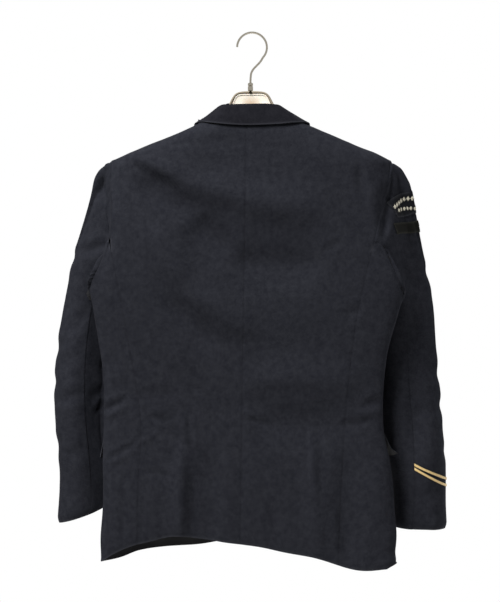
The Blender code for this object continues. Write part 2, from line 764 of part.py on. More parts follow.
def sleeve_grid(side):
    """The sleeve's outer points, row by row from the armhole to the cuff, and its inner points."""
    start, normals = armhole_loop(side)
    angles = sleeve_angles(HIND_TOP)
    along = np.array([unit(v) for v in np.roll(start, -1, axis=0) - np.roll(start, 1, axis=0)])
    out = side * np.array([unit(v) for v in np.cross(normals, along)])
    biceps = ARMS[side][0].z
    cuff = ARMS[side][-1].z
    ring = sleeve_ring(side, biceps, angles)
    down = np.array([unit(v) for v in sleeve_ring(side, biceps - 30, angles) - ring])
    reach = np.linalg.norm(ring - start, axis=1)[:, None]
    rows = []
    for step in range(CAP_STEPS):
        f = (step / CAP_STEPS) ** 1.3
        point = (1 + 2 * f) * (1 - f) ** 2 * start + f * f * (3 - 2 * f) * ring
        point = point + f * (1 - f) ** 2 * out * CAP_OUT * reach - f * f * (1 - f) * down * CAP_DOWN * reach
        point = point + f * (1 - f) ** 2 * normals * CAP_LIFT
        short = of_side(HEAD_OUT(point[0, 2]), side) - abs(point[0, 0])
        point[:, 0] += side * short * ((1 + np.cos(angles)) / 2) ** 1.5
        rows.append(point)
    for share in np.linspace(0, 1, ARM_STEPS + 1):
        turned_angles = sleeve_angles(mix(HIND_TOP, HIND_CUFF, share))
        rows.append(sleeve_ring(side, mix(biceps, cuff, share), turned_angles))
    outer = np.array(rows)
    cloth = side_cloth(side)
    for row in range(1, CAP_STEPS + 2):
        for column in range(ARMHOLE_STEPS + 1, ARMHOLE_STEPS + SIDE_COLUMNS + 1):
            outer[row, column] = kept_off(outer[row, column], cloth)
    closed = np.concatenate([outer[:, -1:], outer, outer[:, :1]], axis=1)
    facing = -side * grid_normals(closed)[:, 1:-1]
    facing[0] = normals
    inner = outer - CLOTH * facing
    outer[0] += SEAM * out
    inner[0] += SEAM * out
    return outer, inner


def columns_from(grid, first, last):
    """The grid's columns from one to another, going round past the end."""
    count = grid.shape[1]
    if last < first:
        last += count
    return grid[:, [n % count for n in range(first, last + 1)]].copy()


def stand_back_sides(outer, inner):
    """Draws a sleeve part's two long edges in from their seams."""
    for edge, inside in ((0, 1), (-1, -2)):
        shift = SLEEVE_SEAM * np.array([unit(v) for v in outer[:, inside] - outer[:, edge]])
        outer[:, edge] += shift
        inner[:, edge] += shift


def add_sleeve(side, finish):
    """Top sleeve and under sleeve, joined at the hind and forearm seams."""
    outer, inner = sleeve_grid(side)
    hind = ARMHOLE_STEPS
    fore = ARMHOLE_STEPS + SIDE_COLUMNS + FORE_SEAM_STEPS
    for part, first, last in (("under", hind, fore), ("top", fore, hind)):
        skin, lining_side = columns_from(outer, first, last), columns_from(inner, first, last)
        stand_back_sides(skin, lining_side)
        add_wall(f"{part}_sleeve_{SIDE_NAMES[side]}", skin, lining_side, finish)


def height_on_column(column, z):
    """The point at a height on one column of a sleeve's grid."""
    for above, below in zip(column, column[1:]):
        if above[2] >= z > below[2]:
            return mix(above, below, (above[2] - z) / (above[2] - below[2]))
    return column[-1]


def between_columns(grid, column):
    """The line down a sleeve's grid at a whole or part column."""
    first = int(np.floor(column))
    return mix(grid[:, first], grid[:, first + 1], column - first)


def add_strip(name, table, finish, lie=LIE, rows=2):
    """A piece on the right sleeve's top part, made from that part's points moved out."""
    outer, inner = sleeve_grid(RIGHT)
    under, over = [], []
    for patch in table:
        line, back = between_columns(outer, patch.column), between_columns(inner, patch.column)
        for z in np.linspace(patch.top, patch.bottom, rows):
            skin = height_on_column(line, z)
            facing = unit(skin - height_on_column(back, z))
            under.append(skin + facing * lie)
            over.append(skin + facing * (lie + TRIM_CLOTH))
    shape = (len(table), rows, 3)
    return add_wall(name, np.array(over).reshape(shape), np.array(under).reshape(shape), finish)


def add_sleeve_trim(gold, velvet, badge):
    """Two braid stripes on the cuff, and the arm band and badge above them."""
    for index, top in enumerate(BRAID_TOPS):
        stripe = []
        for column in BRAID_COLUMNS:
            round_back = radians(90) * min(1 - column / ARMHOLE_STEPS, 1)
            level = top - BRAID_DROP * sin(round_back)
            stripe.append(Patch(column, level, level - BRAID_WIDTH))
        add_strip(f"braid_{index + 1}", stripe, gold)
    add_strip("arm_band", BAND, velvet, PATCH_LIE, PATCH_ROWS)
    add_strip("sleeve_badge", BADGE, badge, PATCH_LIE, PATCH_ROWS)


def collar_grid(side):
    """The collar's middle surface on one side, from its neck seam over the fold to its outer edge."""
    fold_at = curve_of(STATIONS, "along", "fold_x", "fold_y", "fold_z", "belly", "notch")
    edges = []
    for station in STATIONS:
        out = station.edge_x + side * COLLAR_CENTRE
        turn = 0.5 if station.face == "ridge" else turn_at(side, out, station.edge_z, station.face)
        normal = outward(side, turn, station.edge_z, front)
        edges.append(front(side, turn, station.edge_z) + normal * COLLAR_CLEAR)
    edge_at = Curve([station.along for station in STATIONS], edges)
    cloth = cloth_places(side, COLLAR_TURNS, COLLAR_LEVELS, lambda turn, z: COLLAR_CLEAR)
    rows = []
    for step in range(COLLAR_STEPS + 1):
        from_shoulder = 2 * step / COLLAR_STEPS - 1
        along = 0.5 + 0.5 * np.sign(from_shoulder) * abs(from_shoulder) ** COLLAR_CLOSING
        fold_x, fold_y, fold_z, belly, notch = fold_at(along)
        fold = np.array([side * fold_x + COLLAR_CENTRE, fold_y, fold_z])
        rows.append(collar_row(neck_seam(side, along), fold, edge_at(along), belly, notch, cloth))
    return np.array(rows)


def neck_seam(side, along):
    """The middle of the cloth's edge at the neck, from the centre back to the gorge."""
    if along <= 0.5:
        turn, z = along, neck_height(along, NECK)
    else:
        z = mix(NECK, GORGE + 3, (along - 0.5) / 0.5)
        turn = turn_at(side, INNER_OUT(z)[0], z, "front")
    return front(side, turn, z) - outward(side, turn, z, front) * CLOTH / 2


def collar_row(neck, fold, edge, belly, notch, cloth):
    """One cross-section of the collar: up its stand, over the fold and down its fall."""
    rise = unit(fold - neck)
    away = edge - fold
    away = unit(away - rise * away.dot(rise))
    centre = fold - rise * COLLAR_FOLD_RADIUS
    foot = neck + rise * (COLLAR_CLOTH / 2 + SEAM)
    top = centre - away * COLLAR_FOLD_RADIUS
    row = [mix(foot, top, step / STAND_STEPS) for step in range(STAND_STEPS)]
    for step in range(ARC_STEPS):
        angle = pi - pi * step / ARC_STEPS
        row.append(centre + COLLAR_FOLD_RADIUS * (away * cos(angle) + rise * sin(angle)))
    start = centre + away * COLLAR_FOLD_RADIUS
    for step in range(FALL_STEPS + 1):
        f = step / FALL_STEPS
        point = mix(start, edge, f) + 2 * f * (1 - f) * belly * unit(rise + away)
        point[2] += notch * (f / NOTCH_AT if f < NOTCH_AT else (1 - f) / (1 - NOTCH_AT))
        row.append(kept_off(point, cloth))
    return row


def add_collar(finish):
    right, left = collar_grid(RIGHT), collar_grid(LEFT)
    left[0] = right[0] = (left[0] + right[0]) / 2
    grid = np.concatenate([left[::-1], right[1:]])
    return add_middle_wall("collar", grid, COLLAR_CLOTH, finish)


def add_flap(side, finish):
    """A hip pocket flap, on the front and side panel, whose back corner stands off."""
    under, over = [], []
    for row in range(FLAP_ROWS + 1):
        down = row / FLAP_ROWS
        for column in range(FLAP_COLUMNS + 1):
            share = column / FLAP_COLUMNS
            turn = mix(FLAP_BACK_TURN, FLAP_FRONT_TURN, share)
            z = mix(FLAP_TOP, FLAP_BOTTOM, down)
            normal = outward(side, turn, z)
            lift = FLAP_LIE + FLAP_SLACK * (1 - ease(share, 0.0, 0.5)) + FLAP_HANG * down
            lift += FLAP_FLARE[side] * down**1.5 * (1 - ease(share, 0.0, 0.4))
            under.append(body(side, turn, z) + normal * lift)
            over.append(body(side, turn, z) + normal * (lift + CLOTH))
    shape = (FLAP_ROWS + 1, FLAP_COLUMNS + 1, 3)
    name = f"pocket_flap_{SIDE_NAMES[side]}"
    return add_wall(name, np.array(over).reshape(shape), np.array(under).reshape(shape), finish)


def turned(name, profile, finish, centre, axis="Z", points=16):
    """A solid turned from a closed profile of (radius, height), round an axis through its centre."""
    vertices, faces = [], []
    for radius, height in profile:
        for step in range(points):
            angle = 2 * pi * step / points
            ring = (radius * cos(angle), radius * sin(angle), height)
            vertices.append(ring if axis == "Z" else (ring[0], ring[2], ring[1]))
    count = len(profile)
    for i in range(count):
        for j in range(points):
            k = (j + 1) % points
            i2 = (i + 1) % count
            faces.append((i * points + j, i * points + k, i2 * points + k, i2 * points + j))
    return add_object(name, place(np.array(vertices) + centre), faces, finish, 35)


def add_buttons(finish):
    """Two front buttons, each on its shank, with a raised rim."""
    for index, z in enumerate(BUTTON_HEIGHTS):
        turn = turn_at(LEFT, 0.0, z, "front")
        seat = front(LEFT, turn, z) + outward(LEFT, turn, z, front) * LIE
        r, t, rim = BUTTON_RADIUS, BUTTON_THICK, BUTTON_RIM
        profile = [
            (SHANK_BORE, 0.0),
            (SHANK_RADIUS, 0.0),
            (SHANK_RADIUS, BUTTON_OFF),
            (r - BUTTON_BACK, BUTTON_OFF),
            (r, BUTTON_OFF + BUTTON_BEVEL),
            (r, BUTTON_OFF + t - BUTTON_EDGE),
            (r - BUTTON_EDGE, BUTTON_OFF + t),
            (r - 2 * rim, BUTTON_OFF + t - BUTTON_DISH),
            (SHANK_BORE, BUTTON_OFF + t - BUTTON_DISH),
        ]
        turned(f"front_button_{index + 1}", profile, finish, seat, axis="Y")


def tube(name, path, radii, finish, points=8, squares=None):
    """A tube along a path in the drawing's front plane, with a height and a depth at each point."""
    path = np.asarray(path, float)
    along = np.gradient(path, axis=0)
    vertices, faces = [], []
    for point, direction, (high, deep) in zip(path, along, radii):
        direction = unit(direction)
        up = np.array([-direction[2], 0.0, direction[0]])
        for step in range(points):
            angle = 2 * pi * (step + 0.5) / points
            c, s = cos(angle), sin(angle)
            if squares:
                c, s = abs(c) ** squares * np.sign(c), abs(s) ** squares * np.sign(s)
            vertices.append(point + up * high * s + np.array([0.0, deep * c, 0.0]))
    rings = len(path)
    for i in range(rings - 1):
        for j in range(points):
            k = (j + 1) % points
            faces.append((i * points + j, i * points + k, (i + 1) * points + k, (i + 1) * points + j))
    faces.append(tuple(range(points - 1, -1, -1)))
    faces.append(tuple(range((rings - 1) * points, rings * points)))
    return add_object(name, place(vertices), faces, finish, 60)


def add_hook(finish):
    """The hook's wire: up the stem, out along its bend and round to the tip."""
    centre = np.array([CROWN[0], 0.0, CROWN[2] - HOOK_RADIUS + HOOK_WIRE])
    path = [(FERRULE_AT, 0, FERRULE_BOTTOM + HOOK_FOOT)] + [(x, 0, z) for x, z in STEM]
    for angle in range(HOOK_START, HOOK_END + 1, HOOK_STEP):
        turn = radians(angle)
        path.append(centre + HOOK_RADIUS * np.array([cos(turn), 0.0, sin(turn)]))
    radii = [(HOOK_WIRE, HOOK_WIRE)] * len(path)
    radii[-1] = (HOOK_WIRE * 0.7, HOOK_WIRE * 0.7)
    return tube("hook", path, radii, finish)


def add_ferrule(finish):
    """The collar that the hook's stem passes through, on top of the hanger."""
    bore = HOOK_WIRE + FERRULE_PLAY
    top, bottom, r = FERRULE_TOP, FERRULE_BOTTOM, FERRULE_RADIUS
    neck = r - FERRULE_NECK
    profile = [
        (bore, bottom),
        (r, bottom),
        (r, bottom + FERRULE_SHOULDER[0]),
        (neck, bottom + FERRULE_SHOULDER[1]),
        (neck, top - FERRULE_ROUND[1]),
        (neck - FERRULE_ROUND[0], top),
        (bore, top),
    ]
    return turned("ferrule", profile, finish, np.array([FERRULE_AT, 0.0, 0.0]), points=16)


def hanger_line():
    """The hanger's ribs from tip to tip, and the places of their middles."""
    ribs = [Rib(-rib.x, *rib[1:]) for rib in HANGER_RIBS[:0:-1]] + HANGER_RIBS
    neck = HANGER_RIBS[NECK_RIBS].x
    path = [(rib.x + NECK_SHIFT * (abs(rib.x) <= neck), 0.0, rib.z + HANGER_TILT * rib.x) for rib in ribs]
    return ribs, np.array(path)


def add_hanger(finish):
    """The hanger's moulding: an arch at its neck, and arms that widen out to the shoulders."""
    ribs, path = hanger_line()
    radii = [(rib.high / 2, rib.deep / 2) for rib in ribs]
    return tube("hanger", path, radii, finish, RIB_POINTS, RIB_SHARPNESS)


def add_hanger_web(finish):
    """The thin web inside the neck's arch, down to where the arms begin."""
    ribs, path = hanger_line()
    along = np.gradient(path, axis=0)
    middle = len(ribs) // 2
    outline = []
    for index in range(middle - NECK_RIBS + 1, middle + NECK_RIBS):
        direction = unit(along[index])
        up = np.array([-direction[2], 0.0, direction[0]])
        outline.append(path[index] - up * (ribs[index].high / 2 + WEB_GAP))
    half = np.array([0.0, WEB_THICK / 2, 0.0])
    count = len(outline)
    faces = [tuple(range(count)), tuple(range(2 * count - 1, count - 1, -1))]
    for i in range(count):
        j = (i + 1) % count
        faces.append((i, j, j + count, i + count))
    vertices = place([point - half for point in outline] + [point + half for point in outline])
    return add_object("hanger_web", vertices, faces, finish)


def main():
    for old in list(bpy.data.objects):
        bpy.data.objects.remove(old)
    cloth = material("navy serge", (0.0194, 0.0207, 0.0257), 0.85)
    gold = material("gold braid", (0.62, 0.46, 0.22), 0.45)
    velvet = material("black velvet", (0.006, 0.006, 0.007), 0.95)
    badge = material("black badge felt", (0.01, 0.01, 0.012), 0.9)
    horn = material("dark button resin", (0.02, 0.02, 0.026), 0.35)
    steel = material("chromed steel wire", (0.72, 0.72, 0.72), 0.18, 1.0)
    moulding = material("moulded taupe plastic", (0.24, 0.2, 0.17), 0.5)
    web = material("moulded cream plastic", (0.72, 0.62, 0.49), 0.5)
    for side in (RIGHT, LEFT):
        add_back(side, cloth)
        add_side_panel(side, cloth)
        add_front(side, cloth)
        add_lapel(side, cloth)
        add_sleeve(side, cloth)
        add_flap(side, cloth)
    add_collar(cloth)
    add_sleeve_trim(gold, velvet, badge)
    add_buttons(horn)
    add_hook(steel)
    add_ferrule(steel)
    add_hanger(moulding)
    add_hanger_web(web)


main()
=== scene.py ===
"""The looks of the tailored jacket on its moulded hanger.

Every cloth panel becomes a thin shell on the form of its solid: its right side is taken from the solid, made
smooth, creased in the places listed below, joined to its neighbours along its seams and given a wall
with a lining. Trim is laid on the sleeve. The hook, ferrule, hanger and buttons are finished on their own.
Lengths in the tables are in millimetres from the hook's crown, +X to the wearer's right and +Y to the front.
"""

import logging
from collections.abc import Callable, Sequence
from dataclasses import dataclass, field
from enum import Enum
from math import cos, pi, radians, sin
from typing import Any

import bmesh
import bpy
import numpy as np
from mathutils import Matrix, Vector, kdtree, noise
from mathutils.bvhtree import BVHTree


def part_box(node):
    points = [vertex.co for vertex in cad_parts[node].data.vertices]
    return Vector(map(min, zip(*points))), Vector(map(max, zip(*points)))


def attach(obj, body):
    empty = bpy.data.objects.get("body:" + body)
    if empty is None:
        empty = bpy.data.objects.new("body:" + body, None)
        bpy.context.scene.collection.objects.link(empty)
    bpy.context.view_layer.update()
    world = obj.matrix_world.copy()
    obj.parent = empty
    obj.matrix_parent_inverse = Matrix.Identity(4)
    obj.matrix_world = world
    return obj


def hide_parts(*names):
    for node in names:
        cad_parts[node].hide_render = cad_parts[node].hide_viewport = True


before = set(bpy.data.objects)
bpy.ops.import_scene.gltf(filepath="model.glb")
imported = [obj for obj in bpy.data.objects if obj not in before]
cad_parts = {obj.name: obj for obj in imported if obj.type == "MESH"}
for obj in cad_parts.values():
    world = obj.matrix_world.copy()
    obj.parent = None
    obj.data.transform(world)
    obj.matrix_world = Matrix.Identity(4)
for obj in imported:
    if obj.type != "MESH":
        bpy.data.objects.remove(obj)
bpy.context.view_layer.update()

LOG = logging.getLogger("jacket")
MM = 0.001
BODY = "root"
SIDES = (("left", -1), ("right", 1))
# Points of a solid that are closer than this are one point, in metres
MERGE = 0.001 * MM
# Corners sharper than this, in degrees, are a solid's own and not a bend in it
SQUARE = 60
# How far a wave texture turns in a unit, in radians: along X, and along the sum of X, Y and Z
STRAIGHT, SLANTING = 20, 10
Node = bpy.types.Node
Socket = bpy.types.NodeSocket
Tree = bpy.types.NodeTree
Thing = bpy.types.Object
Mesh = bpy.types.Mesh
Numbers = np.ndarray
Pair = tuple[float, float]
Place = tuple[float, float, float]


def linear(code: str) -> tuple[float, float, float, float]:
    """Turns an sRGB hex colour to linear.

    Args:
        code: the colour, as "#rrggbb".

    Returns:
        Its red, green and blue in linear light, and an alpha of 1.
    """
    parts = [int(code[i : i + 2], 16) / 255 for i in (1, 3, 5)]
    red, green, blue = (c / 12.92 if c <= 0.04045 else ((c + 0.055) / 1.055) ** 2.4 for c in parts)
    return (red, green, blue, 1.0)


def add_node(tree: Tree, kind: str, settings: dict | None = None, links: dict | None = None) -> Node:
    """Adds a shader node.

    Args:
        tree: the material's node tree.
        kind: the node's Blender type, without the ShaderNode in front.
        settings: values by the name or number of an input, or by the name of a property.
        links: the sockets to join to its inputs, by the input's name or number.

    Returns:
        The node.
    """
    node = tree.nodes.new(f"ShaderNode{kind}")
    for key, value in (settings or {}).items():
        if isinstance(key, int) or key in node.inputs:
            node.inputs[key].default_value = value
        else:
            setattr(node, key, value)
    for key, socket in (links or {}).items():
        tree.links.new(socket, node.inputs[key])
    return node


def smooth_step(values: Numbers, start: float, end: float) -> Numbers:
    """0 up to start, 1 from end on, and a soft step between."""
    share = np.clip((values - start) / (end - start), 0.0, 1.0)
    return share * share * (3 - 2 * share)


# Finishes


class Mark(Enum):
    """What cloth is marked with for its finish: worn edges with a painted highlight, seams with painted
    shade.
    """

    # Edges painted paler: partly wear, partly a painted highlight on pressed edges
    RUBBED = "rubbed"
    # Seams painted darker: painted shade in the crevice where two pieces meet
    SEAM = "seam"


def two_tones(tree: Tree, share: Socket, contrast: Pair, first: str, second: str) -> Socket:
    """Mixes two colours by a pattern.

    Args:
        tree: the material's node tree.
        share: the pattern.
        contrast: where the pattern is all of the first colour, and where all of the second.
        first: the first colour.
        second: the second colour.

    Returns:
        The colour.
    """
    levels = {"From Min": contrast[0], "From Max": contrast[1]}
    spread = add_node(tree, "MapRange", levels, {"Value": share}).outputs["Result"]
    tones = {"data_type": "RGBA", 6: linear(first), 7: linear(second)}
    return add_node(tree, "Mix", tones, {0: spread}).outputs[2]


def tinted(tree: Tree, colour: Socket, tints: dict[Mark, str]) -> Socket:
    """Tints a colour where a piece is marked.

    Args:
        tree: the material's node tree.
        colour: the colour.
        tints: the colour of each mark.

    Returns:
        The tinted colour.
    """
    for mark, tint in tints.items():
        share = add_node(tree, "Attribute", {"attribute_name": mark.value}).outputs["Fac"]
        mixed = add_node(tree, "Mix", {"data_type": "RGBA", 7: linear(tint)}, {0: share, 6: colour})
        colour = mixed.outputs[2]
    return colour


@dataclass(frozen=True)
class Finish:
    """A plain finish: its colour, how rough it is, and its relief's strength and depth in millimetres."""

    name: str
    colour: str
    roughness: float
    relief: Pair = (0.0, 0.0)

    def make(self) -> bpy.types.Material:
        """Makes the material.

        Returns:
            The material, with its even values on the shader and its pattern joined to it.
        """
        made = bpy.data.materials.new(self.name)
        made.use_nodes = True
        tree = made.node_tree
        shader = tree.nodes["Principled BSDF"]
        values = {"Base Color": linear(self.colour), "Roughness": self.roughness, **self.even()}
        for name, value in values.items():
            shader.inputs[name].default_value = value
        drawn = self.pattern(tree, add_node(tree, "TexCoord").outputs["Object"])
        if "Height" in drawn:
            strength, depth = self.relief
            height = {"Height": drawn.pop("Height")}
            bump = add_node(tree, "Bump", {"Strength": strength, "Distance": depth * MM}, height)
            drawn["Normal"] = bump.outputs["Normal"]
        for name, socket in drawn.items():
            tree.links.new(socket, shader.inputs[name])
        return made

    def even(self) -> dict[str, Any]:
        """The shader's values that are the same all over, by their socket."""
        return {}

    def pattern(self, tree: Tree, place: Socket) -> dict[str, Socket]:
        """Draws what varies over a piece.

        Args:
            tree: the material's node tree.
            place: the place on the piece, in metres.

        Returns:
            What goes to each of the shader's sockets, and the relief, as "Height".
        """
        return {}


@dataclass(frozen=True)
class WoolSerge(Finish):
    """Worsted wool serge, dyed in the yarn: dull and dense, with a fine diagonal rib and a faint bloom."""

    relief: Pair = (0.2, 0.25)
    light: str = "#27282d"
    # Pressed edges are painted paler, partly for wear and partly as a painted highlight
    rub: str = "#3a3b40"
    # Seams are painted darker, as painted shade in their crevices
    painted_seam_shade: str = "#08080a"
    bloom: str = "#8a8c96"
    gloss: float = 0.03
    sheen: float = 0.02
    # Serge has a rib each 1.1 mm. It is drawn at 2.4 mm, because a finer one is lost in the render.
    rib: float = 2.4
    rib_share: float = 0.12
    # Its fibre ends are finer than a hair. Their flecks are drawn at 2.2 mm, as fine as shows.
    fleck: float = 2.2
    fleck_height: float = 0.6
    # The yarn's slubs are 5 to 15 mm long and give a soft mottle
    cloud: float = 9.0
    cloud_share: float = 0.45
    contrast: Pair = (0.36, 0.64)

    def even(self) -> dict[str, Any]:
        """Hardly any gloss, and a grey bloom."""
        bloom = {"Sheen Weight": self.sheen, "Sheen Roughness": 0.5, "Sheen Tint": linear(self.bloom)}
        return {"Specular IOR Level": self.gloss, **bloom}

    def pattern(self, tree: Tree, place: Socket) -> dict[str, Socket]:
        """Mixes two yarn colours by flecks and ribs, pales the worn edges as a painted highlight, paints seam
        shade.

        Args:
            tree: the material's node tree.
            place: the place on the piece, in metres.

        Returns:
            The colour and the relief.
        """
        at = {"Vector": place}
        twill = {"Scale": 2 * pi / (SLANTING * self.rib * MM * 2**0.5), "Detail": 2.0, "Detail Scale": 1.5}
        twill |= {"bands_direction": "DIAGONAL", "Distortion": 2.5}
        rib = add_node(tree, "TexWave", twill, at).outputs["Fac"]
        fleck, cloud = (
            add_node(tree, "TexNoise", {"Scale": 1 / (size * MM), "Detail": 3.0}, at).outputs["Fac"]
            for size in (self.fleck, self.cloud)
        )
        yarn = add_node(tree, "Mix", {0: self.rib_share}, {2: fleck, 3: rib}).outputs[0]
        both = add_node(tree, "Mix", {0: self.cloud_share}, {2: yarn, 3: cloud}).outputs[0]
        colour = two_tones(tree, both, self.contrast, self.colour, self.light)
        colour = tinted(tree, colour, {Mark.RUBBED: self.rub, Mark.SEAM: self.painted_seam_shade})
        height = add_node(tree, "Mix", {0: self.fleck_height}, {2: rib, 3: fleck}).outputs[0]
        return {"Base Color": colour, "Height": height}


@dataclass(frozen=True)
class SatinLining(Finish):
    """Viscose satin: a smooth, dark lining with a soft gloss and faint lengthwise threads."""

    relief: Pair = (0.2, 0.1)
    # Satin's threads are 0.1 mm apart. They are drawn at 0.8 mm, so that they show from close by.
    thread: float = 0.8

    def even(self) -> dict[str, Any]:
        """The satin's gloss."""
        return {"Specular IOR Level": 0.2, "Coat Weight": 0.03, "Coat Roughness": 0.35}

    def pattern(self, tree: Tree, place: Socket) -> dict[str, Socket]:
        """Raises the threads.

        Args:
            tree: the material's node tree.
            place: the place on the piece, in metres.

        Returns:
            The relief.
        """
        waves = {"bands_direction": "X", "Scale": 2 * pi / (STRAIGHT * self.thread * MM), "Distortion": 1.5}
        return {"Height": add_node(tree, "TexWave", waves, {"Vector": place}).outputs["Fac"]}


@dataclass(frozen=True)
class Thread(Finish):
    """Twisted thread, such as embroidery or metal braid: fine slanting turns and a low gloss."""

    relief: Pair = (0.6, 0.3)
    dark: str = "#8a6c36"
    # Its turns are 0.7 mm long. They are drawn at about twice that, so that they show.
    turn: float = 1.5
    metallic: float = 0.0

    def even(self) -> dict[str, Any]:
        """A little metal in some threads, and a bloom."""
        return {"Metallic": self.metallic, "Sheen Weight": 0.2}

    def pattern(self, tree: Tree, place: Socket) -> dict[str, Socket]:
        """Shades the turns of the thread and raises them.

        Args:
            tree: the material's node tree.
            place: the place on the piece, in metres.

        Returns:
            The colour and the relief.
        """
        scale = 2 * pi / (SLANTING * self.turn * MM)
        twist = {"bands_direction": "DIAGONAL", "Scale": scale, "Distortion": 0.8, "Detail": 1.0}
        turns = add_node(tree, "TexWave", twist, {"Vector": place}).outputs["Fac"]
        tones = {"data_type": "RGBA", 6: linear(self.dark), 7: linear(self.colour)}
        return {"Base Color": add_node(tree, "Mix", tones, {0: turns}).outputs[2], "Height": turns}


@dataclass(frozen=True)
class Pile(Finish):
    """Cut pile or felt: a deep dull ground, a pale bloom at grazing light, and patches brushed each way."""

    relief: Pair = (0.5, 0.3)
    brushed: str = "#2b2a27"
    edge: str = "#4a4a45"
    bloom: str = "#b4b0a4"
    sheen: float = 0.5
    # The pile's tufts are 0.3 mm apart. They are drawn at 1.8 mm, as fine as shows.
    grain: float = 1.8
    # A patch that a finger has brushed
    patch: float = 12.0
    patch_share: float = 0.5
    contrast: Pair = (0.35, 0.7)

    def even(self) -> dict[str, Any]:
        """Little gloss, and the pile's bloom."""
        bloom = {"Sheen Weight": self.sheen, "Sheen Roughness": 0.35, "Sheen Tint": linear(self.bloom)}
        return {"Specular IOR Level": 0.15, **bloom}

    def pattern(self, tree: Tree, place: Socket) -> dict[str, Socket]:
        """Mottles the pile and pales its bound edge.

        Args:
            tree: the material's node tree.
            place: the place on the piece, in metres.

        Returns:
            The colour and the relief.
        """
        at = {"Vector": place}
        grain, patch = (
            add_node(tree, "TexNoise", {"Scale": 1 / (size * MM), "Detail": detail}, at).outputs["Fac"]
            for size, detail in ((self.grain, 4.0), (self.patch, 1.0))
        )
        both = add_node(tree, "Mix", {0: self.patch_share}, {2: grain, 3: patch}).outputs[0]
        colour = two_tones(tree, both, self.contrast, self.colour, self.brushed)
        return {"Base Color": tinted(tree, colour, {Mark.RUBBED: self.edge}), "Height": grain}


@dataclass(frozen=True)
class PlatedSteel(Finish):
    """Nickel-plated steel wire: bright, with faint drawing lines and a few dull smears from handling."""

    relief: Pair = (0.03, 0.05)
    # A fingertip's smear, and the lines from the drawing die, which are drawn coarser than they are
    smear: float = 9.0
    dull: float = 0.14
    drawn: float = 0.6
    contrast: Pair = (0.35, 0.7)

    def even(self) -> dict[str, Any]:
        """Metal all over."""
        return {"Metallic": 1.0}

    def pattern(self, tree: Tree, place: Socket) -> dict[str, Socket]:
        """Varies the plating's gloss.

        Args:
            tree: the material's node tree.
            place: the place on the piece, in metres.

        Returns:
            The roughness and the relief.
        """
        at = {"Vector": place}
        smear, drawn = (
            add_node(tree, "TexNoise", {"Scale": 1 / (size * MM), "Detail": detail}, at).outputs["Fac"]
            for size, detail in ((self.smear, 3.0), (self.drawn, 1.0))
        )
        low, high = self.contrast
        levels = {"From Min": low, "From Max": high}
        levels |= {"To Min": self.roughness, "To Max": self.roughness + self.dull}
        gloss = add_node(tree, "MapRange", levels, {"Value": smear}).outputs["Result"]
        return {"Roughness": gloss, "Height": drawn}


@dataclass(frozen=True)
class MouldedPlastic(Finish):
    """Injection-moulded styrene or polyester: a faint flow mottle, fine orange peel and a soft gloss."""

    relief: Pair = (0.12, 0.1)
    mottle: str = "#b6a791"
    glow: float = 0.0
    glow_reach: Place = (0.004, 0.003, 0.002)
    # The length of a flow mark, and of a wave of the orange peel
    flow: float = 30.0
    peel: float = 1.4
    contrast: Pair = (0.35, 0.7)

    def even(self) -> dict[str, Any]:
        """The plastic's gloss, and how far light goes into it."""
        return {"IOR": 1.55, "Subsurface Weight": self.glow, "Subsurface Radius": self.glow_reach}

    def pattern(self, tree: Tree, place: Socket) -> dict[str, Socket]:
        """Draws the flow mottle and the orange peel.

        Args:
            tree: the material's node tree.
            place: the place on the piece, in metres.

        Returns:
            The colour and the relief.
        """
        swirl = {"Scale": 1 / (self.flow * MM), "Detail": 3.0, "Distortion": 0.6}
        flow = add_node(tree, "TexNoise", swirl, {"Vector": place}).outputs["Fac"]
        colour = two_tones(tree, flow, self.contrast, self.colour, self.mottle)
        peel = add_node(tree, "TexNoise", {"Scale": 1 / (self.peel * MM), "Detail": 1.0}, {"Vector": place})
        return {"Base Color": colour, "Height": peel.outputs["Fac"]}


@dataclass(frozen=True)
class MilkyPlastic(MouldedPlastic):
    """Thin milky styrene: cream at its rim, with painted shade in a darker amber low in the middle, above the
    collar.
    """

    # Painted shade: the web is tinted darker low in its middle, above the collar
    painted_shade_tint: str = "#c4ab8f"
    middle: Place = (-0.0012, 0.0, -0.119)
    reach: Place = (0.02, 0.02, 0.014)

    def pattern(self, tree: Tree, place: Socket) -> dict[str, Socket]:
        """Adds the painted shade, a darker amber low in the middle, to the moulded plastic.

        Args:
            tree: the material's node tree.
            place: the place on the piece, in metres.

        Returns:
            The colour and the relief.
        """
        drawn = super().pattern(tree, place)
        fitted = {"vector_type": "TEXTURE", "Location": self.middle, "Scale": self.reach}
        centred = add_node(tree, "Mapping", fitted, {"Vector": place}).outputs[0]
        ball = add_node(tree, "TexGradient", {"gradient_type": "SPHERICAL"}, {"Vector": centred})
        shaded_tones = {"data_type": "RGBA", 7: linear(self.painted_shade_tint)}
        shade = add_node(tree, "Mix", shaded_tones, {0: ball.outputs["Fac"], 6: drawn["Base Color"]})
        drawn["Base Color"] = shade.outputs[2]
        return drawn


SERGE = WoolSerge("wool_serge", "#1b1c21", 0.86)
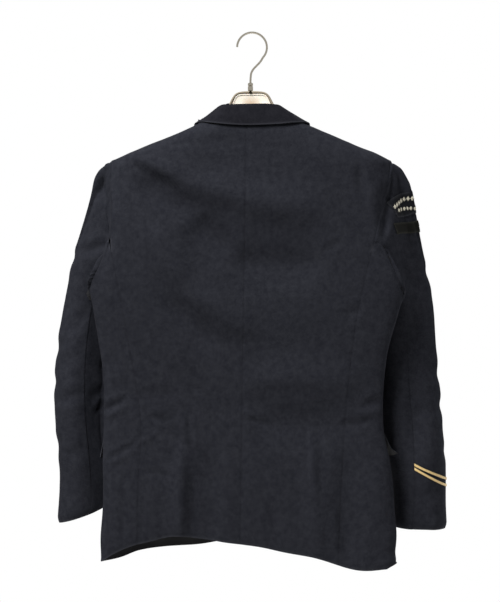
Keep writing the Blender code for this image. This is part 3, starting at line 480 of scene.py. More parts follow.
# The collar's serge is painted darker than the rest, as painted shade
SHADED_COLLAR_SERGE = WoolSerge("wool_serge_collar_painted_shade", "#151519", 0.86, light="#1e1e22")
LINING = SatinLining("satin_lining", "#0d0d10", 0.5)
GOLD_THREAD = Thread("gold_thread_braid", "#ecd49a", 0.42, dark="#9a7436", metallic=0.1)
PALE_THREAD = Thread("pale_embroidery", "#d8d2bf", 0.6, dark="#8f8a7a", turn=1.2)
SEWING = Thread("sewing_thread", "#2e2f36", 0.6, dark="#1b1c21", turn=0.9)
VELVET = Pile("black_velvet", "#0a0a09", 0.85, brushed="#131311", sheen=0.05, edge="#393935")
FELT = Pile("black_felt", "#101114", 0.9, brushed="#17181c", sheen=0.06, edge="#3f4045")
STEEL = PlatedSteel("nickel_plated_steel", "#c6bfb0", 0.3)
PIN = PlatedSteel("blackened_steel", "#3a3226", 0.3)
MOULDING = MouldedPlastic("moulded_styrene", "#8f8574", 0.38, mottle="#7c7262")
WEB = MilkyPlastic("milky_styrene", "#f6efe2", 0.42, mottle="#eee5d5", glow=0.1)
HORN = MouldedPlastic("button_polyester", "#1d1d21", 0.3, mottle="#2c2c31")
FLOOR = Finish("matt_white_floor", "#f2f1ee", 0.9)
MATERIALS: dict[str, bpy.types.Material] = {}


def material(finish: Finish) -> bpy.types.Material:
    """The material of a finish, made once.

    Args:
        finish: the finish.

    Returns:
        Its material.
    """
    if finish.name not in MATERIALS:
        MATERIALS[finish.name] = finish.make()
    return MATERIALS[finish.name]


# Folds


class Side(Enum):
    """A side of the jacket, to draw creases on: its two directions, and the way the cloth faces there."""

    BACK = ((1, 0, 0), (0, 0, 1), (0, -1, 0))
    FRONT = ((1, 0, 0), (0, 0, 1), (0, 1, 0))
    RIGHT = ((0, 1, 0), (0, 0, 1), (1, 0, 0))
    LEFT = ((0, 1, 0), (0, 0, 1), (-1, 0, 0))
    TOP = ((1, 0, 0), (0, 1, 0), (0, 0, 1))


# A crease's width at its ends, and how much wider its middle is, in shares of its width
END_WIDTH, MIDDLE_WIDER = 0.65, 0.5
# Where a crease starts and is at its full depth, and where it fades again, in shares of its length
RISE, FALL = (-0.12, 0.28), (0.68, 1.12)
# How far a crease's lips stand from its middle, in widths
LIP_OFF = 1.9
# How much the cloth faces a crease's side where the crease starts, and where it is at its full depth
FACING = (0.1, 0.5)


@dataclass(frozen=True)
class Crease:
    """One fold, as listed: a soft trough with a lip on each side, or a ridge if its depth is below 0."""

    side: Side
    start: Pair
    end: Pair
    width: float
    depth: float
    bow: float = 0.0
    lip: float = 0.4
    nodes: tuple[str, ...] = ()

    def push(self, places: Numbers, facing: Numbers) -> Numbers:
        """How far it pushes the cloth in.

        Args:
            places: points on the cloth, in millimetres.
            facing: the way the cloth faces at each.

        Returns:
            The depth at each point, in millimetres.
        """
        across, up, out = (np.array(v, float) for v in self.side.value)
        flat = np.stack([places @ across, places @ up], axis=1)
        first, last = np.array(self.start), np.array(self.end)
        length = np.linalg.norm(last - first)
        along = (last - first) / length
        run = (flat - first) @ along / length
        inside = np.clip(run, 0, 1)
        off = (flat - first) @ np.array([along[1], -along[0]]) - self.bow * 4 * inside * (1 - inside)
        share = off / (self.width * (END_WIDTH + MIDDLE_WIDER * np.sin(pi * inside)))
        fade = smooth_step(run, *RISE) * (1 - smooth_step(run, *FALL))
        profile = np.exp(-(share**2)) - self.lip * np.exp(-((np.abs(share) - LIP_OFF) ** 2))
        return self.depth * fade * profile * smooth_step(facing @ out, *FACING)


def creases(side: Side, *rows: tuple, lip: float = 0.4) -> list[Crease]:
    """Creases on one side. A row holds the two numbers of its start and its end, its width, depth and bow."""
    return [Crease(side, row[:2], row[2:4], *row[4:], lip=lip) for row in rows]


LEFT_SLEEVE = ("top_sleeve_left", "under_sleeve_left")
RIGHT_SLEEVE = ("top_sleeve_right", "under_sleeve_right", "arm_band", "sleeve_badge", "braid_1", "braid_2")

CREASES = [
    # The broad folds of the back, deeper than its solids have them
    *creases(
        Side.BACK,
        (-208, -208, -63, -273, 20, -5.5), (-88, -260, 109, -308, 32, -6.5), (-190, -250, -98, -320, 22, 5.0),
        (-108, -328, -31, -388, 30, 6.0), (-44, -394, 115, -396, 34, 7.0),
        lip=0.1,
    ),
    *creases(
        Side.BACK,
        (-176, -332, -100, -432, 22, -4.0), (-104, -430, 4, -510, 24, -4.5), (-154, -442, -60, -550, 22, 4.0),
        (-22, -590, 180, -588, 26, -4.5), (2, -664, 200, -666, 22, 2.5), (-121, -708, -124, -874, 15, -2.5),
        (-76, -708, -72, -868, 20, 4.0), (98, -708, 116, -886, 16, -2.5), (158, -708, 168, -890, 18, 3.0),
        lip=0.2,
    ),
    # The sleeves alone: the backs of both turn in towards the body, the right one swells below its elbow,
    # and their heads are full
    Crease(Side.BACK, (-252, -180), (-254, -830), 46, 22.0, lip=0.0, nodes=LEFT_SLEEVE),
    Crease(Side.LEFT, (22, -590), (26, -745), 34, -9.0, lip=0.0, nodes=RIGHT_SLEEVE[:2]),
    Crease(Side.BACK, (254, -200), (288, -480), 38, 18.0, lip=0.0, nodes=RIGHT_SLEEVE),
    Crease(Side.BACK, (290, -440), (272, -720), 36, 18.0, lip=0.0, nodes=RIGHT_SLEEVE),
    Crease(Side.RIGHT, (-28, -252), (60, -252), 22, -5.0, lip=0.0, nodes=RIGHT_SLEEVE),
    Crease(Side.LEFT, (-28, -240), (60, -240), 24, -2.0, lip=0.0, nodes=("top_sleeve_left",)),
    # The tips of the shoulders: full heads to the sleeves, and the seam's end laid down
    *creases(
        Side.TOP,
        (246, -40, 246, 60, 9, -5.0), (-254, -40, -254, 70, 14, -6.5), (210, -40, 210, 60, 20, -2.5),
        (237, -40, 237, 60, 5, 2.6), (-237, -40, -237, 60, 5, 1.0),
        lip=0.0,
    ),
    # The skirt hangs straight instead of flaring
    Crease(Side.BACK, (-290, -905), (200, -905), 95, 9.0, lip=0.0),
    # The sides swing out to the hem
    Crease(Side.RIGHT, (-60, -855), (60, -855), 36, -4.5, lip=0.0),
    Crease(Side.RIGHT, (-60, -890), (60, -890), 12, -3.4, lip=0.0),
    Crease(Side.LEFT, (-60, -850), (60, -850), 36, -2.5, lip=0.0),
    # The seams of the armholes, sunk where the sleeves hang from them
    Crease(Side.BACK, (-262, -236), (-251, -402), 13, 9.0, lip=0.0),
    Crease(Side.BACK, (234, -256), (222, -350), 12, 8.0, lip=0.0),
    # The back, over the broad folds that its solids have: drags from the shoulders down to the right
    *creases(
        Side.BACK,
        (-205, -210, -110, -256, 9, -1.8, -2), (-196, -226, -120, -282, 9, 1.6, -3),
        (-120, -258, -20, -284, 16, -1.8, 2), (-30, -286, 74, -302, 18, -1.8, -3),
        (-90, -310, -30, -372, 14, 1.5, 3), (-60, -388, 112, -391, 12, 1.0, 2),
        (-172, -310, -158, -400, 9, 1.0, 2), (-150, -300, -70, -400, 18, -1.4, -4),
        (-110, -440, -20, -505, 16, -1.5, -4), (-140, -450, -60, -530, 14, 1.6, -3),
        (20, -430, 80, -450, 12, -1.0, 2), (150, -478, 186, -466, 8, 1.4, 1),
        (116, -376, 150, -354, 6, 1.2, -1), (-140, -192, 10, -190, 9, 1.0, -3),
        (178, -222, 188, -290, 6, 1.5, 1), (196, -228, 203, -280, 6, -1.0, 1),
        (222, -250, 212, -330, 7, 1.4, -2),
    ),
    # The waist: pulls in from both sides, and small breaks above the flutes
    *creases(
        Side.BACK,
        (-252, -640, -206, -614, 6, 2.6, 2), (-252, -652, -214, -628, 5, -1.4, 1),
        (-240, -720, -192, -688, 4.5, 2.0, 2), (-242, -728, -200, -700, 4.5, -1.0, 1),
        (-240, -585, -210, -575, 12, -1.4, 0), (-174, -648, -128, -652, 6, 1.8, 2),
        (-150, -655, -112, -698, 8, 2.2, 2), (-106, -648, -103, -704, 5, 2.2, 0),
        (-102, -684, -78, -738, 5, 2.4, 2), (-96, -602, -70, -644, 5, -1.5, 1),
        (-192, -694, -152, -668, 5, -1.0, 1), (-185, -737, -123, -746, 5, 0.8, 1),
        (-200, -612, -120, -606, 10, 1.2, 3), (-24, -632, 2, -650, 5, -1.6, 1),
        (-10, -648, 38, -664, 5, 1.9, 2), (20, -600, 120, -604, 12, 1.2, 3),
        (186, -628, 218, -620, 7, 2.4, 1), (176, -642, 206, -640, 6, -1.4, 1),
        (140, -662, 200, -654, 6, 1.6, 2),
    ),
    # The skirt: flutes down to the hem
    *creases(
        Side.BACK,
        (-118, -690, -120, -868, 9, -1.5, -2), (-102, -690, -100, -866, 12, 1.8, -2),
        (-212, -735, -214, -862, 6, 1.3, 2), (-192, -744, -196, -866, 6, -0.8, -1),
        (-160, -750, -166, -862, 12, -1.2, 3), (-16, -700, -20, -852, 12, 1.2, 3),
        (24, -690, 86, -780, 9, -1.0, 5), (100, -650, 108, -790, 6, -1.4, 2),
        (110, -720, 114, -800, 9, 1.3, -1), (114, -790, 124, -876, 10, 1.2, -2),
        (148, -800, 160, -884, 8, 1.4, 2), (210, -720, 224, -860, 16, -1.4, 3),
        (36, -790, 44, -866, 10, 1.0, 2),
    ),
    # The left sleeve: a break below the shoulder, soft turns at the elbow
    *creases(
        Side.BACK,
        (-306, -370, -262, -358, 8, 3.2, 2), (-247, -262, -241, -336, 5, 1.6, -1),
        (-328, -510, -286, -468, 10, 2.2, 4), (-336, -628, -280, -604, 8, 1.7, 3),
        (-331, -560, -292, -548, 9, 1.5, -2), (-320, -720, -283, -700, 10, 1.3, 3),
    ),
    *creases(
        Side.LEFT,
        (20, -372, 76, -392, 9, 2.4, 3), (8, -520, 70, -545, 11, 2.2, 4), (0, -610, 60, -588, 9, 2.0, -3),
        (10, -690, 66, -715, 10, 1.5, 3),
    ),
    # The right sleeve: a pinch at its head, a long dip above the elbow
    *creases(
        Side.BACK,
        (224, -279, 243, -284, 3.5, 2.2, -1), (262, -395, 300, -440, 10, 2.2, 3),
        (285, -500, 318, -560, 11, 1.8, -3), (276, -650, 322, -622, 9, 2.2, 3),
        (285, -790, 325, -776, 9, 1.0, 2),
    ),
    *creases(
        Side.RIGHT,
        (22, -395, 80, -420, 10, 2.2, 4), (4, -560, 62, -590, 11, 2.2, 4), (0, -650, 58, -628, 9, 2.2, -3),
        (12, -705, 60, -722, 8, 1.2, 2),
    ),
    # The insides of the elbows, seen from the front
    *creases(
        Side.FRONT,
        (-330, -560, -278, -590, 9, 2.4, 3), (-328, -600, -280, -612, 8, 2.2, -2),
        (-326, -650, -284, -636, 9, 1.8, 2), (276, -585, 328, -556, 9, 2.4, 3),
        (278, -612, 328, -600, 8, 2.0, -2), (282, -640, 324, -652, 9, 1.8, 2),
        (-300, -400, -262, -450, 11, 2.0, 4), (262, -395, 300, -452, 11, 2.2, 4),
    ),
    # The fronts: pulls from the button, drags from the armholes, soft flutes over the hips
    *creases(
        Side.FRONT,
        (-24, -606, -120, -560, 11, 2.6, 6), (-26, -622, -130, -640, 11, 2.2, -5),
        (28, -606, 118, -566, 11, 2.4, -6), (30, -622, 126, -636, 10, 2.0, 5),
        (-196, -420, -128, -520, 13, 2.2, 6), (186, -415, 126, -525, 13, 2.4, -6),
        (-150, -250, -165, -350, 12, 1.8, 4), (152, -255, 160, -345, 12, 1.6, -3),
        (-96, -735, -104, -868, 12, 2.2, 4), (-150, -740, -160, -872, 13, 1.8, -3),
        (92, -738, 100, -866, 12, 2.4, -3), (150, -745, 156, -875, 13, 1.6, 3),
    ),
    Crease(Side.RIGHT, (-20, -620), (30, -606), 9, 1.6, 2),
    Crease(Side.LEFT, (-22, -610), (28, -622), 9, 1.6, 2),
]
# Slow unevenness all over: the length of its waves, how deep they are, and where its pattern starts
WAVES = [(90.0, 1.3, 0.0), (38.0, 0.5, 17.0), (15.0, 0.16, 31.0)]


def drape(node: str, places: Numbers, facing: Numbers, loose: Numbers | float = 1.0) -> Numbers:
    """How far the folds and the slow unevenness push the cloth in.

    Args:
        node: the node that the cloth stands for.
        places: points on the cloth, in millimetres.
        facing: the way the cloth faces at each.
        loose: how free each point is of the armhole, from 0 to 1, for the creases of that piece alone.

    Returns:
        The depth at each point, in millimetres.
    """
    total = np.zeros(len(places))
    for crease in CREASES:
        if not crease.nodes:
            total += crease.push(places, facing)
        elif node in crease.nodes:
            total += crease.push(places, facing) * loose
    for length, depth, start in WAVES:
        total += depth * np.array([noise.noise(Vector(spot)) for spot in places / length + start])
    return total


# Blender's objects and meshes


def only(thing: Thing) -> None:
    """Selects one object and nothing else, and makes it active.

    Args:
        thing: the object.
    """
    bpy.ops.object.select_all(action="DESELECT")
    thing.select_set(True)
    bpy.context.view_layer.objects.active = thing


def edit(thing: Thing, action: str) -> None:
    """Goes into an object's edit mode.

    Args:
        thing: the object.
        action: "SELECT" or "DESELECT", for all of its mesh.
    """
    only(thing)
    bpy.ops.object.mode_set(mode="EDIT")
    bpy.ops.mesh.select_all(action=action)


def put_in(name: str, data: bpy.types.ID) -> Thing:
    """Puts a mesh, a lamp or a camera in the scene.

    Args:
        name: the object's name.
        data: what it holds.

    Returns:
        The object.
    """
    thing = bpy.data.objects.new(name, data)
    bpy.context.scene.collection.objects.link(thing)
    return thing


def start_from(add: Callable[..., set[str]], name: str, **settings: Any) -> Thing:
    """Adds a primitive, with nothing else selected.

    Args:
        add: the operator that adds it.
        name: the object's name.
        settings: the operator's settings.

    Returns:
        The object.
    """
    bpy.ops.object.select_all(action="DESELECT")
    add(**settings)
    thing = bpy.context.object
    thing.name = thing.data.name = name
    return thing


def modify(thing: Thing, kind: str, **settings: Any) -> None:
    """Adds a modifier and applies it.

    Args:
        thing: the object.
        kind: the modifier's Blender type.
        settings: its settings.
    """
    modifier = thing.modifiers.new(kind.title(), kind)
    for name, value in settings.items():
        setattr(modifier, name, value)
    only(thing)
    bpy.ops.object.modifier_apply(modifier=modifier.name)


def smooth_by(thing: Thing, degrees: float) -> None:
    """Shades an object smooth, but for its corners sharper than this."""
    only(thing)
    bpy.ops.object.shade_smooth_by_angle(angle=radians(degrees))


def read_triples(items: bpy.types.bpy_prop_collection, name: str) -> Numbers:
    """Reads three numbers from each item of a mesh.

    Args:
        items: the mesh's points or directions.
        name: the name of the three numbers.

    Returns:
        A row for each item.
    """
    flat = np.empty(len(items) * 3, np.float32)
    items.foreach_get(name, flat)
    return flat.reshape(-1, 3).astype(float)


def places_of(mesh: Mesh) -> Numbers:
    """The mesh's points, in millimetres."""
    return read_triples(mesh.vertices, "co") / MM


def facing_of(mesh: Mesh) -> Numbers:
    """The way the mesh faces at each of its points."""
    return read_triples(mesh.vertex_normals, "vector")


def set_places(mesh: Mesh, places: Numbers) -> None:
    """Puts the mesh's points at these places, in millimetres."""
    mesh.vertices.foreach_set("co", (places * MM).astype(np.float32).ravel())
    mesh.update()


def edge_points(mesh: Mesh) -> Numbers:
    """Finds a mesh's open edge.

    Args:
        mesh: the mesh.

    Returns:
        The numbers of the points on the edge.
    """
    sides = np.array([loop.edge_index for loop in mesh.loops])
    count = np.bincount(sides, minlength=len(mesh.edges))
    ends = [tuple(mesh.edges[i].vertices) for i in np.flatnonzero(count == 1)]
    return np.unique(np.array(ends, int).ravel())


def ground_of(mesh: Mesh) -> BVHTree:
    """A search tree of a mesh's faces, in millimetres."""
    points = [Vector(place) for place in places_of(mesh)]
    return BVHTree.FromPolygons(points, [tuple(p.vertices) for p in mesh.polygons])


def tree_of(places: Numbers) -> kdtree.KDTree:
    """Makes a search tree of points.

    Args:
        places: the points, in millimetres.

    Returns:
        The tree.
    """
    tree = kdtree.KDTree(len(places))
    for number, place in enumerate(places):
        tree.insert(Vector(place), number)
    tree.balance()
    return tree


def distances(places: Numbers, points: Sequence[int], far: float = 1000.0) -> Numbers:
    """Measures how far each place is from the nearest of some of them.

    Args:
        places: the places, in millimetres.
        points: the numbers of those that it is measured to.
        far: what it says where there are none.

    Returns:
        The distances, in millimetres.
    """
    if not len(points):
        return np.full(len(places), far)
    tree = tree_of(places[points])
    return np.array([tree.find(Vector(place))[2] for place in places])


# Cloth


class Hold(Enum):
    """How a sheet is held."""

    HUNG = "hung"
    LAID = "laid"
    FOLDED = "folded"


@dataclass
class ClothPiece:
    """A piece of cloth that stands for one solid: a thin shell on its form.

    Its right side faces the way of faces. Its cut, flat, is in metres and its wall in millimetres.
    """

    node: str
    faces: Place
    flat: Pair
    slot: str = "cloth"
    wall: float = 1.6
    levels: int = 3
    # A face whose points face further apart than this is in the rim
    rim_facing: float = -0.3
    corner: float = 32.0
    # Open holes with no more sides than this are filled, and triangles that bend and skew less become quads
    hole_sides: int = 6
    quad_bend: float = 60.0
    quad_skew: float = 80.0
    quad_flow: float = 2.0
    shade_corner: float = 50.0
    hold: Hold = Hold.HUNG
    rests_on: tuple[str, ...] = ()
    finish: Finish = SERGE
    lining: Finish | None = LINING
    declared: bool = True
    shape: Thing | None = field(default=None, init=False)

    def take_skin(self) -> None:
        """Makes the shape: the right side of the solid's wall, as a smooth open sheet of quads."""
        form = bmesh.new()
        form.from_mesh(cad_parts[self.node].data)
        bmesh.ops.remove_doubles(form, verts=form.verts, dist=MERGE)
        skin = self.right_side(form)
        bmesh.ops.delete(form, geom=[f for f in form.faces if f not in skin], context="FACES")
        bmesh.ops.holes_fill(form, edges=form.edges, sides=self.hole_sides)
        bmesh.ops.join_triangles(
            form,
            faces=form.faces,
            angle_face_threshold=radians(self.quad_bend),
            angle_shape_threshold=radians(self.quad_skew),
            topology_influence=self.quad_flow,
        )
        self.keep_corners(form)
        mesh = bpy.data.meshes.new(f"{self.node}_cloth")
        form.to_mesh(mesh)
        form.free()
        self.shape = put_in(f"{self.node}_cloth", mesh)
        levels = {"levels": self.levels, "render_levels": self.levels}
        modify(self.shape, "SUBSURF", boundary_smooth="PRESERVE_CORNERS", **levels)

    def keep_corners(self, form: bmesh.types.BMesh) -> None:
        """Marks the points where the sheet's edge turns a corner, so that smoothing keeps them.

        Args:
            form: the sheet.
        """
        sharp = form.verts.layers.float.new("crease_vert")
        for point in form.verts:
            ends = [edge.other_vert(point).co - point.co for edge in point.link_edges if edge.is_boundary]
            if len(ends) == 2 and ends[0].angle(-ends[1]) > radians(self.corner):
                point[sharp] = 1.0

    def right_side(self, form: bmesh.types.BMesh) -> set[bmesh.types.BMFace]:
        """Finds the faces of the wall's right side.

        Args:
            form: the solid, with its doubles merged.

        Returns:
            The largest run of faces that face the piece's way. The rim, which joins points that face apart,
            parts it from the wrong side.
        """
        facing = {}
        for point in form.verts:
            total = Vector((0, 0, 0))
            for face in point.link_faces:
                total += face.normal * face.calc_area()
            facing[point] = total.normalized()
        rim = set()
        for face in form.faces:
            a, b, c = (facing[point] for point in face.verts)
            if min(a.dot(b), b.dot(c), a.dot(c)) < self.rim_facing:
                rim.add(face)
        return self.best_run(form, rim)

    def best_run(self, form: bmesh.types.BMesh, seen: set[bmesh.types.BMFace]) -> set[bmesh.types.BMFace]:
        """Finds the largest run of joined faces that faces this piece's way.

        Args:
            form: the solid.
            seen: the faces that no run crosses. Those of every run are added.

        Returns:
            The faces of the run.
        """
        best: tuple[float, set[bmesh.types.BMFace]] = (0.0, set())
        for face in form.faces:
            if face in seen:
                continue
            run, stack = {face}, [face]
            while stack:
                for edge in stack.pop().edges:
                    for other in edge.link_faces:
                        if other not in run and other not in seen:
                            run.add(other)
                            stack.append(other)
            seen |= run
            size = sum(f.calc_area() * f.normal.dot(Vector(self.faces)) for f in run)
            if size > best[0]:
                best = (size, run)
        return best[1]

    def mark(self, kind: Mark, points: Sequence[int], reach: float, most: float) -> None:
        """Marks the cloth near some of its points, for its finish to shade.

        Args:
            kind: the mark.
            points: the numbers of the points it is strongest at.
            reach: how far it fades over, in millimetres.
            most: its strength at those points.
        """
        mesh = self.shape.data
        strength = most * np.exp(-((distances(places_of(mesh), points) / reach) ** 2))
        made = mesh.attributes.new(kind.value, "FLOAT", "POINT")
        made.data.foreach_set("value", strength.astype(np.float32))

    def finish_wall(self) -> None:
        shape = self.shape
        shape.data.materials.append(material(self.finish))
        if self.lining:
            shape.data.materials.append(material(self.lining))
        wall = {"thickness": self.wall * MM, "offset": -1.0, "use_even_offset": False}
        modify(shape, "SOLIDIFY", material_offset=len(shape.data.materials) - 1, **wall)
        smooth_by(shape, self.shade_corner)
        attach(shape, BODY)
        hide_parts(self.node)
        if self.declared:
            self.area()
        triangles = sum(len(p.vertices) - 2 for p in shape.data.polygons)
        LOG.info("%s: %d triangles", self.node, triangles)

    def area(self) -> float:
        """Measures the cut.

        Returns:
            Its flat area in square metres: the solid's own wall, before any crease.
        """
        form = bmesh.new()
        form.from_mesh(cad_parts[self.node].data)
        total = sum(f.calc_area() for f in form.faces) / 2
        form.free()
        return min(total, self.flat[0] * self.flat[1])


@dataclass
class LaidPiece(ClothPiece):
    """A piece that lies on a panel, such as a lapel, a flap or a patch: it follows the panel's folds."""

    hold: Hold = Hold.LAID
    # How far off the cloth it lies, whether all of it lies so, and how far it is raised, inside and outside
    lie: float = 0.5
    flush: bool = False
    lift: Pair = (0.0, 0.0)
    # The panels under it, how near they have to be, and how nearly they have to face its way
    on: tuple[str, ...] = ()
    search: float = 12.0
    same_way: float = 0.2

    def seat(self, grounds: dict[str, BVHTree]) -> None:
        """Creases the piece with the cloth under it and keeps its wall clear of that cloth.

        Args:
            grounds: the finished right sides of the panels, in millimetres, by the panel's name.
        """
        mesh = self.shape.data
        places, facing = places_of(mesh), facing_of(mesh)
        places = places - facing * drape(self.node, places, facing)[:, None]
        back, out = self.lift
        outside = smooth_step(places[:, 0], places[:, 0].min(), places[:, 0].max())
        places[:, 2] += back + (out - back) * outside
        for number, place in enumerate(places):
            for name in self.on:
                spot, normal, _, _ = grounds[name].find_nearest(Vector(place), self.search)
                if spot is None or normal.dot(Vector(facing[number])) < self.same_way:
                    continue
                high = (Vector(place) - spot).dot(normal)
                short = self.wall + self.lie - high
                if short > 0 or self.flush:
                    places[number] += np.array(normal) * short
        set_places(mesh, places)


@dataclass
class SleeveTrim(LaidPiece):
    """Trim sewn flat on the right sleeve: a thin wall with no lining."""

    wall: float = 1.0
    lining: Finish | None = None
    flush: bool = True
    on: tuple[str, ...] = ("top_sleeve_right",)


def cut_panels() -> list[ClothPiece]:
    """Lists the panels that the seams join.

    Returns:
        The panels, not built yet.
    """
    back, front = (0, -1, 0), (0, 1, 0)
    return [
        *(ClothPiece(f"back_{side}", back, (0.25, 0.78), rests_on=("hanger",)) for side, _ in SIDES),
        *(ClothPiece(f"side_panel_{side}", (way, 0, 0), (0.18, 0.58)) for side, way in SIDES),
        ClothPiece("front_left", front, (0.28, 0.78), rests_on=("hanger",)),
        ClothPiece("front_right", front, (0.28, 0.78), rim_facing=0.0, rests_on=("hanger",)),
        *(ClothPiece(f"top_sleeve_{side}", (way, 0, 0), (0.24, 0.66)) for side, way in SIDES),
        *(
            ClothPiece(f"under_sleeve_{side}", (-way, 0, 0), (0.17, 0.52), rim_facing=-0.7)
            for side, way in SIDES
        ),
    ]


def cut_laid() -> list[LaidPiece]:
    """Lists the collar, the lapels, the pocket flaps and the trim.

    Returns:
        The pieces, not built yet.
    """
    folded = {"hold": Hold.FOLDED, "lining": None}
    under_collar = tuple(f"{panel}_{side}" for panel in ("back", "front") for side, _ in SIDES)
    braid = {"slot": "gold_braid", "finish": GOLD_THREAD, "levels": 2, "declared": False}
    up, out, front = (0, 0, 1), (1, 0, 0), (0, 1, 0)
    return [
        # The collar's darker serge is painted shade
        LaidPiece("collar", up, (0.48, 0.09), wall=2.2, finish=SHADED_COLLAR_SERGE, on=under_collar, **folded),
        *(
            LaidPiece(f"lapel_{side}", front, (0.1, 0.4), rim_facing=0.25, on=(f"front_{side}",), **folded)
            for side, _ in SIDES
        ),
        *(
            LaidPiece(f"pocket_flap_{side}", front, (0.18, 0.055), on=(f"front_{side}", f"side_panel_{side}"))
            for side, _ in SIDES
        ),
        SleeveTrim("arm_band", out, (0.13, 0.032), "velvet", finish=VELVET),
        SleeveTrim("sleeve_badge", out, (0.1, 0.05), "felt", finish=FELT),
        SleeveTrim("braid_1", out, (0.2, 0.01), lift=(0.0, 5.0), **braid),
        SleeveTrim("braid_2", out, (0.2, 0.01), lift=(2.0, 2.0), **braid),
    ]


@dataclass
class Meeting:
    """A point of a panel's edge that meets other panels, where they meet, and whether in an armhole."""

    number: int
    middle: Numbers
    way: Numbers
    armhole: bool


@dataclass
class Garment:
    """The jacket's cloth: the panels that its seams join, and the pieces that lie on them.

    Lengths are in millimetres. A mark is how far it fades over, and how strong it is.
    """

    seam_reach: float = 1.6
    seam_sink: float = 0.4
    seam_width: float = 2.4
    # Seams are painted darker, as painted shade in their crevices
    seam_shade_mark: Pair = (1.3, 0.18)
    # Edges are painted paler, partly for wear and partly as a painted highlight
    worn_and_lit_mark: Pair = (2.4, 0.4)
    laid_mark: Pair = (2.2, 0.4)
    no_mark: Pair = (1.0, 0.0)
    cap_rise: float = 4.0
    # The rope of a sleeve's head: its height, how far from the seam and how wide it is, where it starts, and
    # how much the cloth faces up there
    head_rope: float = 4.0
    rope_off: float = 5.0
    rope_width: float = 5.0
    rope_start: float = 1.5
    rope_up: Pair = (0.05, 0.5)
    cuff_roll: float = 3.0
    # How much longer a sleeve is than its solid, and the levels that it grows longer between
    cuff_drop: float = 5.5
    cuff_levels: Pair = (650.0, 810.0)
    hem_roll: float = 1.0
    roll_reach: float = 5.0
    panels: list[ClothPiece] = field(default_factory=cut_panels)
    laid: list[LaidPiece] = field(default_factory=cut_laid)

    def build(self) -> None:
        """Builds the panels, joins their seams, and lays the other pieces on them."""
        for piece in self.panels:
            piece.take_skin()
        self.join_seams()
        grounds = {piece.node: ground_of(piece.shape.data) for piece in self.panels}
        for piece in self.laid:
            piece.take_skin()
            piece.seat(grounds)
            # Their edges are painted paler, partly for wear and partly as a painted highlight
            piece.mark(Mark.RUBBED, edge_points(piece.shape.data), *self.laid_mark)
            piece.mark(Mark.SEAM, [], *self.no_mark)
        for piece in self.panels + self.laid:
            piece.finish_wall()

    def join_seams(self) -> None:
        """Closes each seam between the panels, and creases them."""
        meshes = [piece.shape.data for piece in self.panels]
        places = [places_of(mesh) for mesh in meshes]
        facing = [facing_of(mesh) for mesh in meshes]
        edges = [edge_points(mesh) for mesh in meshes]
        met = [self.meetings(one, places, facing, edges) for one in range(len(meshes))]
        for one, piece in enumerate(self.panels):
            for point in met[one]:
                places[one][point.number] = point.middle
                facing[one][point.number] = point.way
            self.crease(piece, places[one], facing[one], edges[one], met[one])

    def meetings(
        self, one: int, places: list[Numbers], facing: list[Numbers], edges: list[Numbers]
    ) -> list[Meeting]:
        """Finds where a panel's edge meets other panels.

        Args:
            one: the panel's number.
            places: the points of each panel, in millimetres.
            facing: the way each panel faces at its points.
            edges: the numbers of the points on each panel's edge.

        Returns:
            The points of the panel that are in a seam.
        """
        sleeve = ["sleeve" in piece.node for piece in self.panels]
        others = [n for n in range(len(places)) if n != one]
        spots = np.concatenate([places[n][edges[n]] for n in others])
        ways = np.concatenate([facing[n][edges[n]] for n in others])
        panel_of = np.concatenate([np.full(len(edges[n]), n) for n in others])
        tree = tree_of(spots)
        met = []
        for number in edges[one]:
            near = [n for _, n, _ in tree.find_range(Vector(places[one][number]), self.seam_reach)]
            if near:
                middle = np.mean([spots[near].mean(axis=0), places[one][number]], axis=0)
                way = ways[near].mean(axis=0) + facing[one][number]
                way = way / max(np.linalg.norm(way), 1e-6)
                armhole = any(sleeve[panel_of[n]] != sleeve[one] for n in near)
                met.append(Meeting(number, middle, way, armhole))
        return met

    def crease(
        self, piece: ClothPiece, places: Numbers, facing: Numbers, edge: Numbers, met: list[Meeting]
    ) -> None:
        """Creases a panel, sinks its seams a little, and rolls its free edge in.

        Args:
            piece: the panel.
            places: its points, in millimetres.
            facing: the way it faces at each.
            edge: the numbers of the points on its edge.
            met: those that are in a seam.
        """
        sleeve = "sleeve" in piece.node
        seam = [point.number for point in met]
        armhole = [point.number for point in met if point.armhole]
        free = np.setdiff1d(edge, np.array(seam, int))
        if sleeve:
            places[:, 2] -= self.cuff_drop * smooth_step(-places[:, 2], *self.cuff_levels)
        off_seam, off_armhole, off_edge = (distances(places, points) for points in (seam, armhole, free))
        depth = drape(piece.node, places, facing, 1 - np.exp(-((off_armhole / self.cap_rise) ** 2)))
        depth += self.seam_sink * np.exp(-((off_seam / self.seam_width) ** 2))
        if sleeve:
            rope = np.exp(-(((off_armhole - self.rope_off) / self.rope_width) ** 2))
            rope = rope * (1 - np.exp(-((off_armhole / self.rope_start) ** 2)))
            depth -= self.head_rope * rope * smooth_step(facing[:, 2], *self.rope_up)
        roll = self.cuff_roll if sleeve else self.hem_roll
        depth += roll * np.exp(-((off_edge / self.roll_reach) ** 2))
        set_places(piece.shape.data, places - facing * depth[:, None])
        # Its free edge is painted paler, partly for wear and partly as a painted highlight
        piece.mark(Mark.RUBBED, free, *self.worn_and_lit_mark)
        # Its seams are painted darker, as painted shade
        piece.mark(Mark.SEAM, seam, *self.seam_shade_mark)


# Hanger, hook and buttons


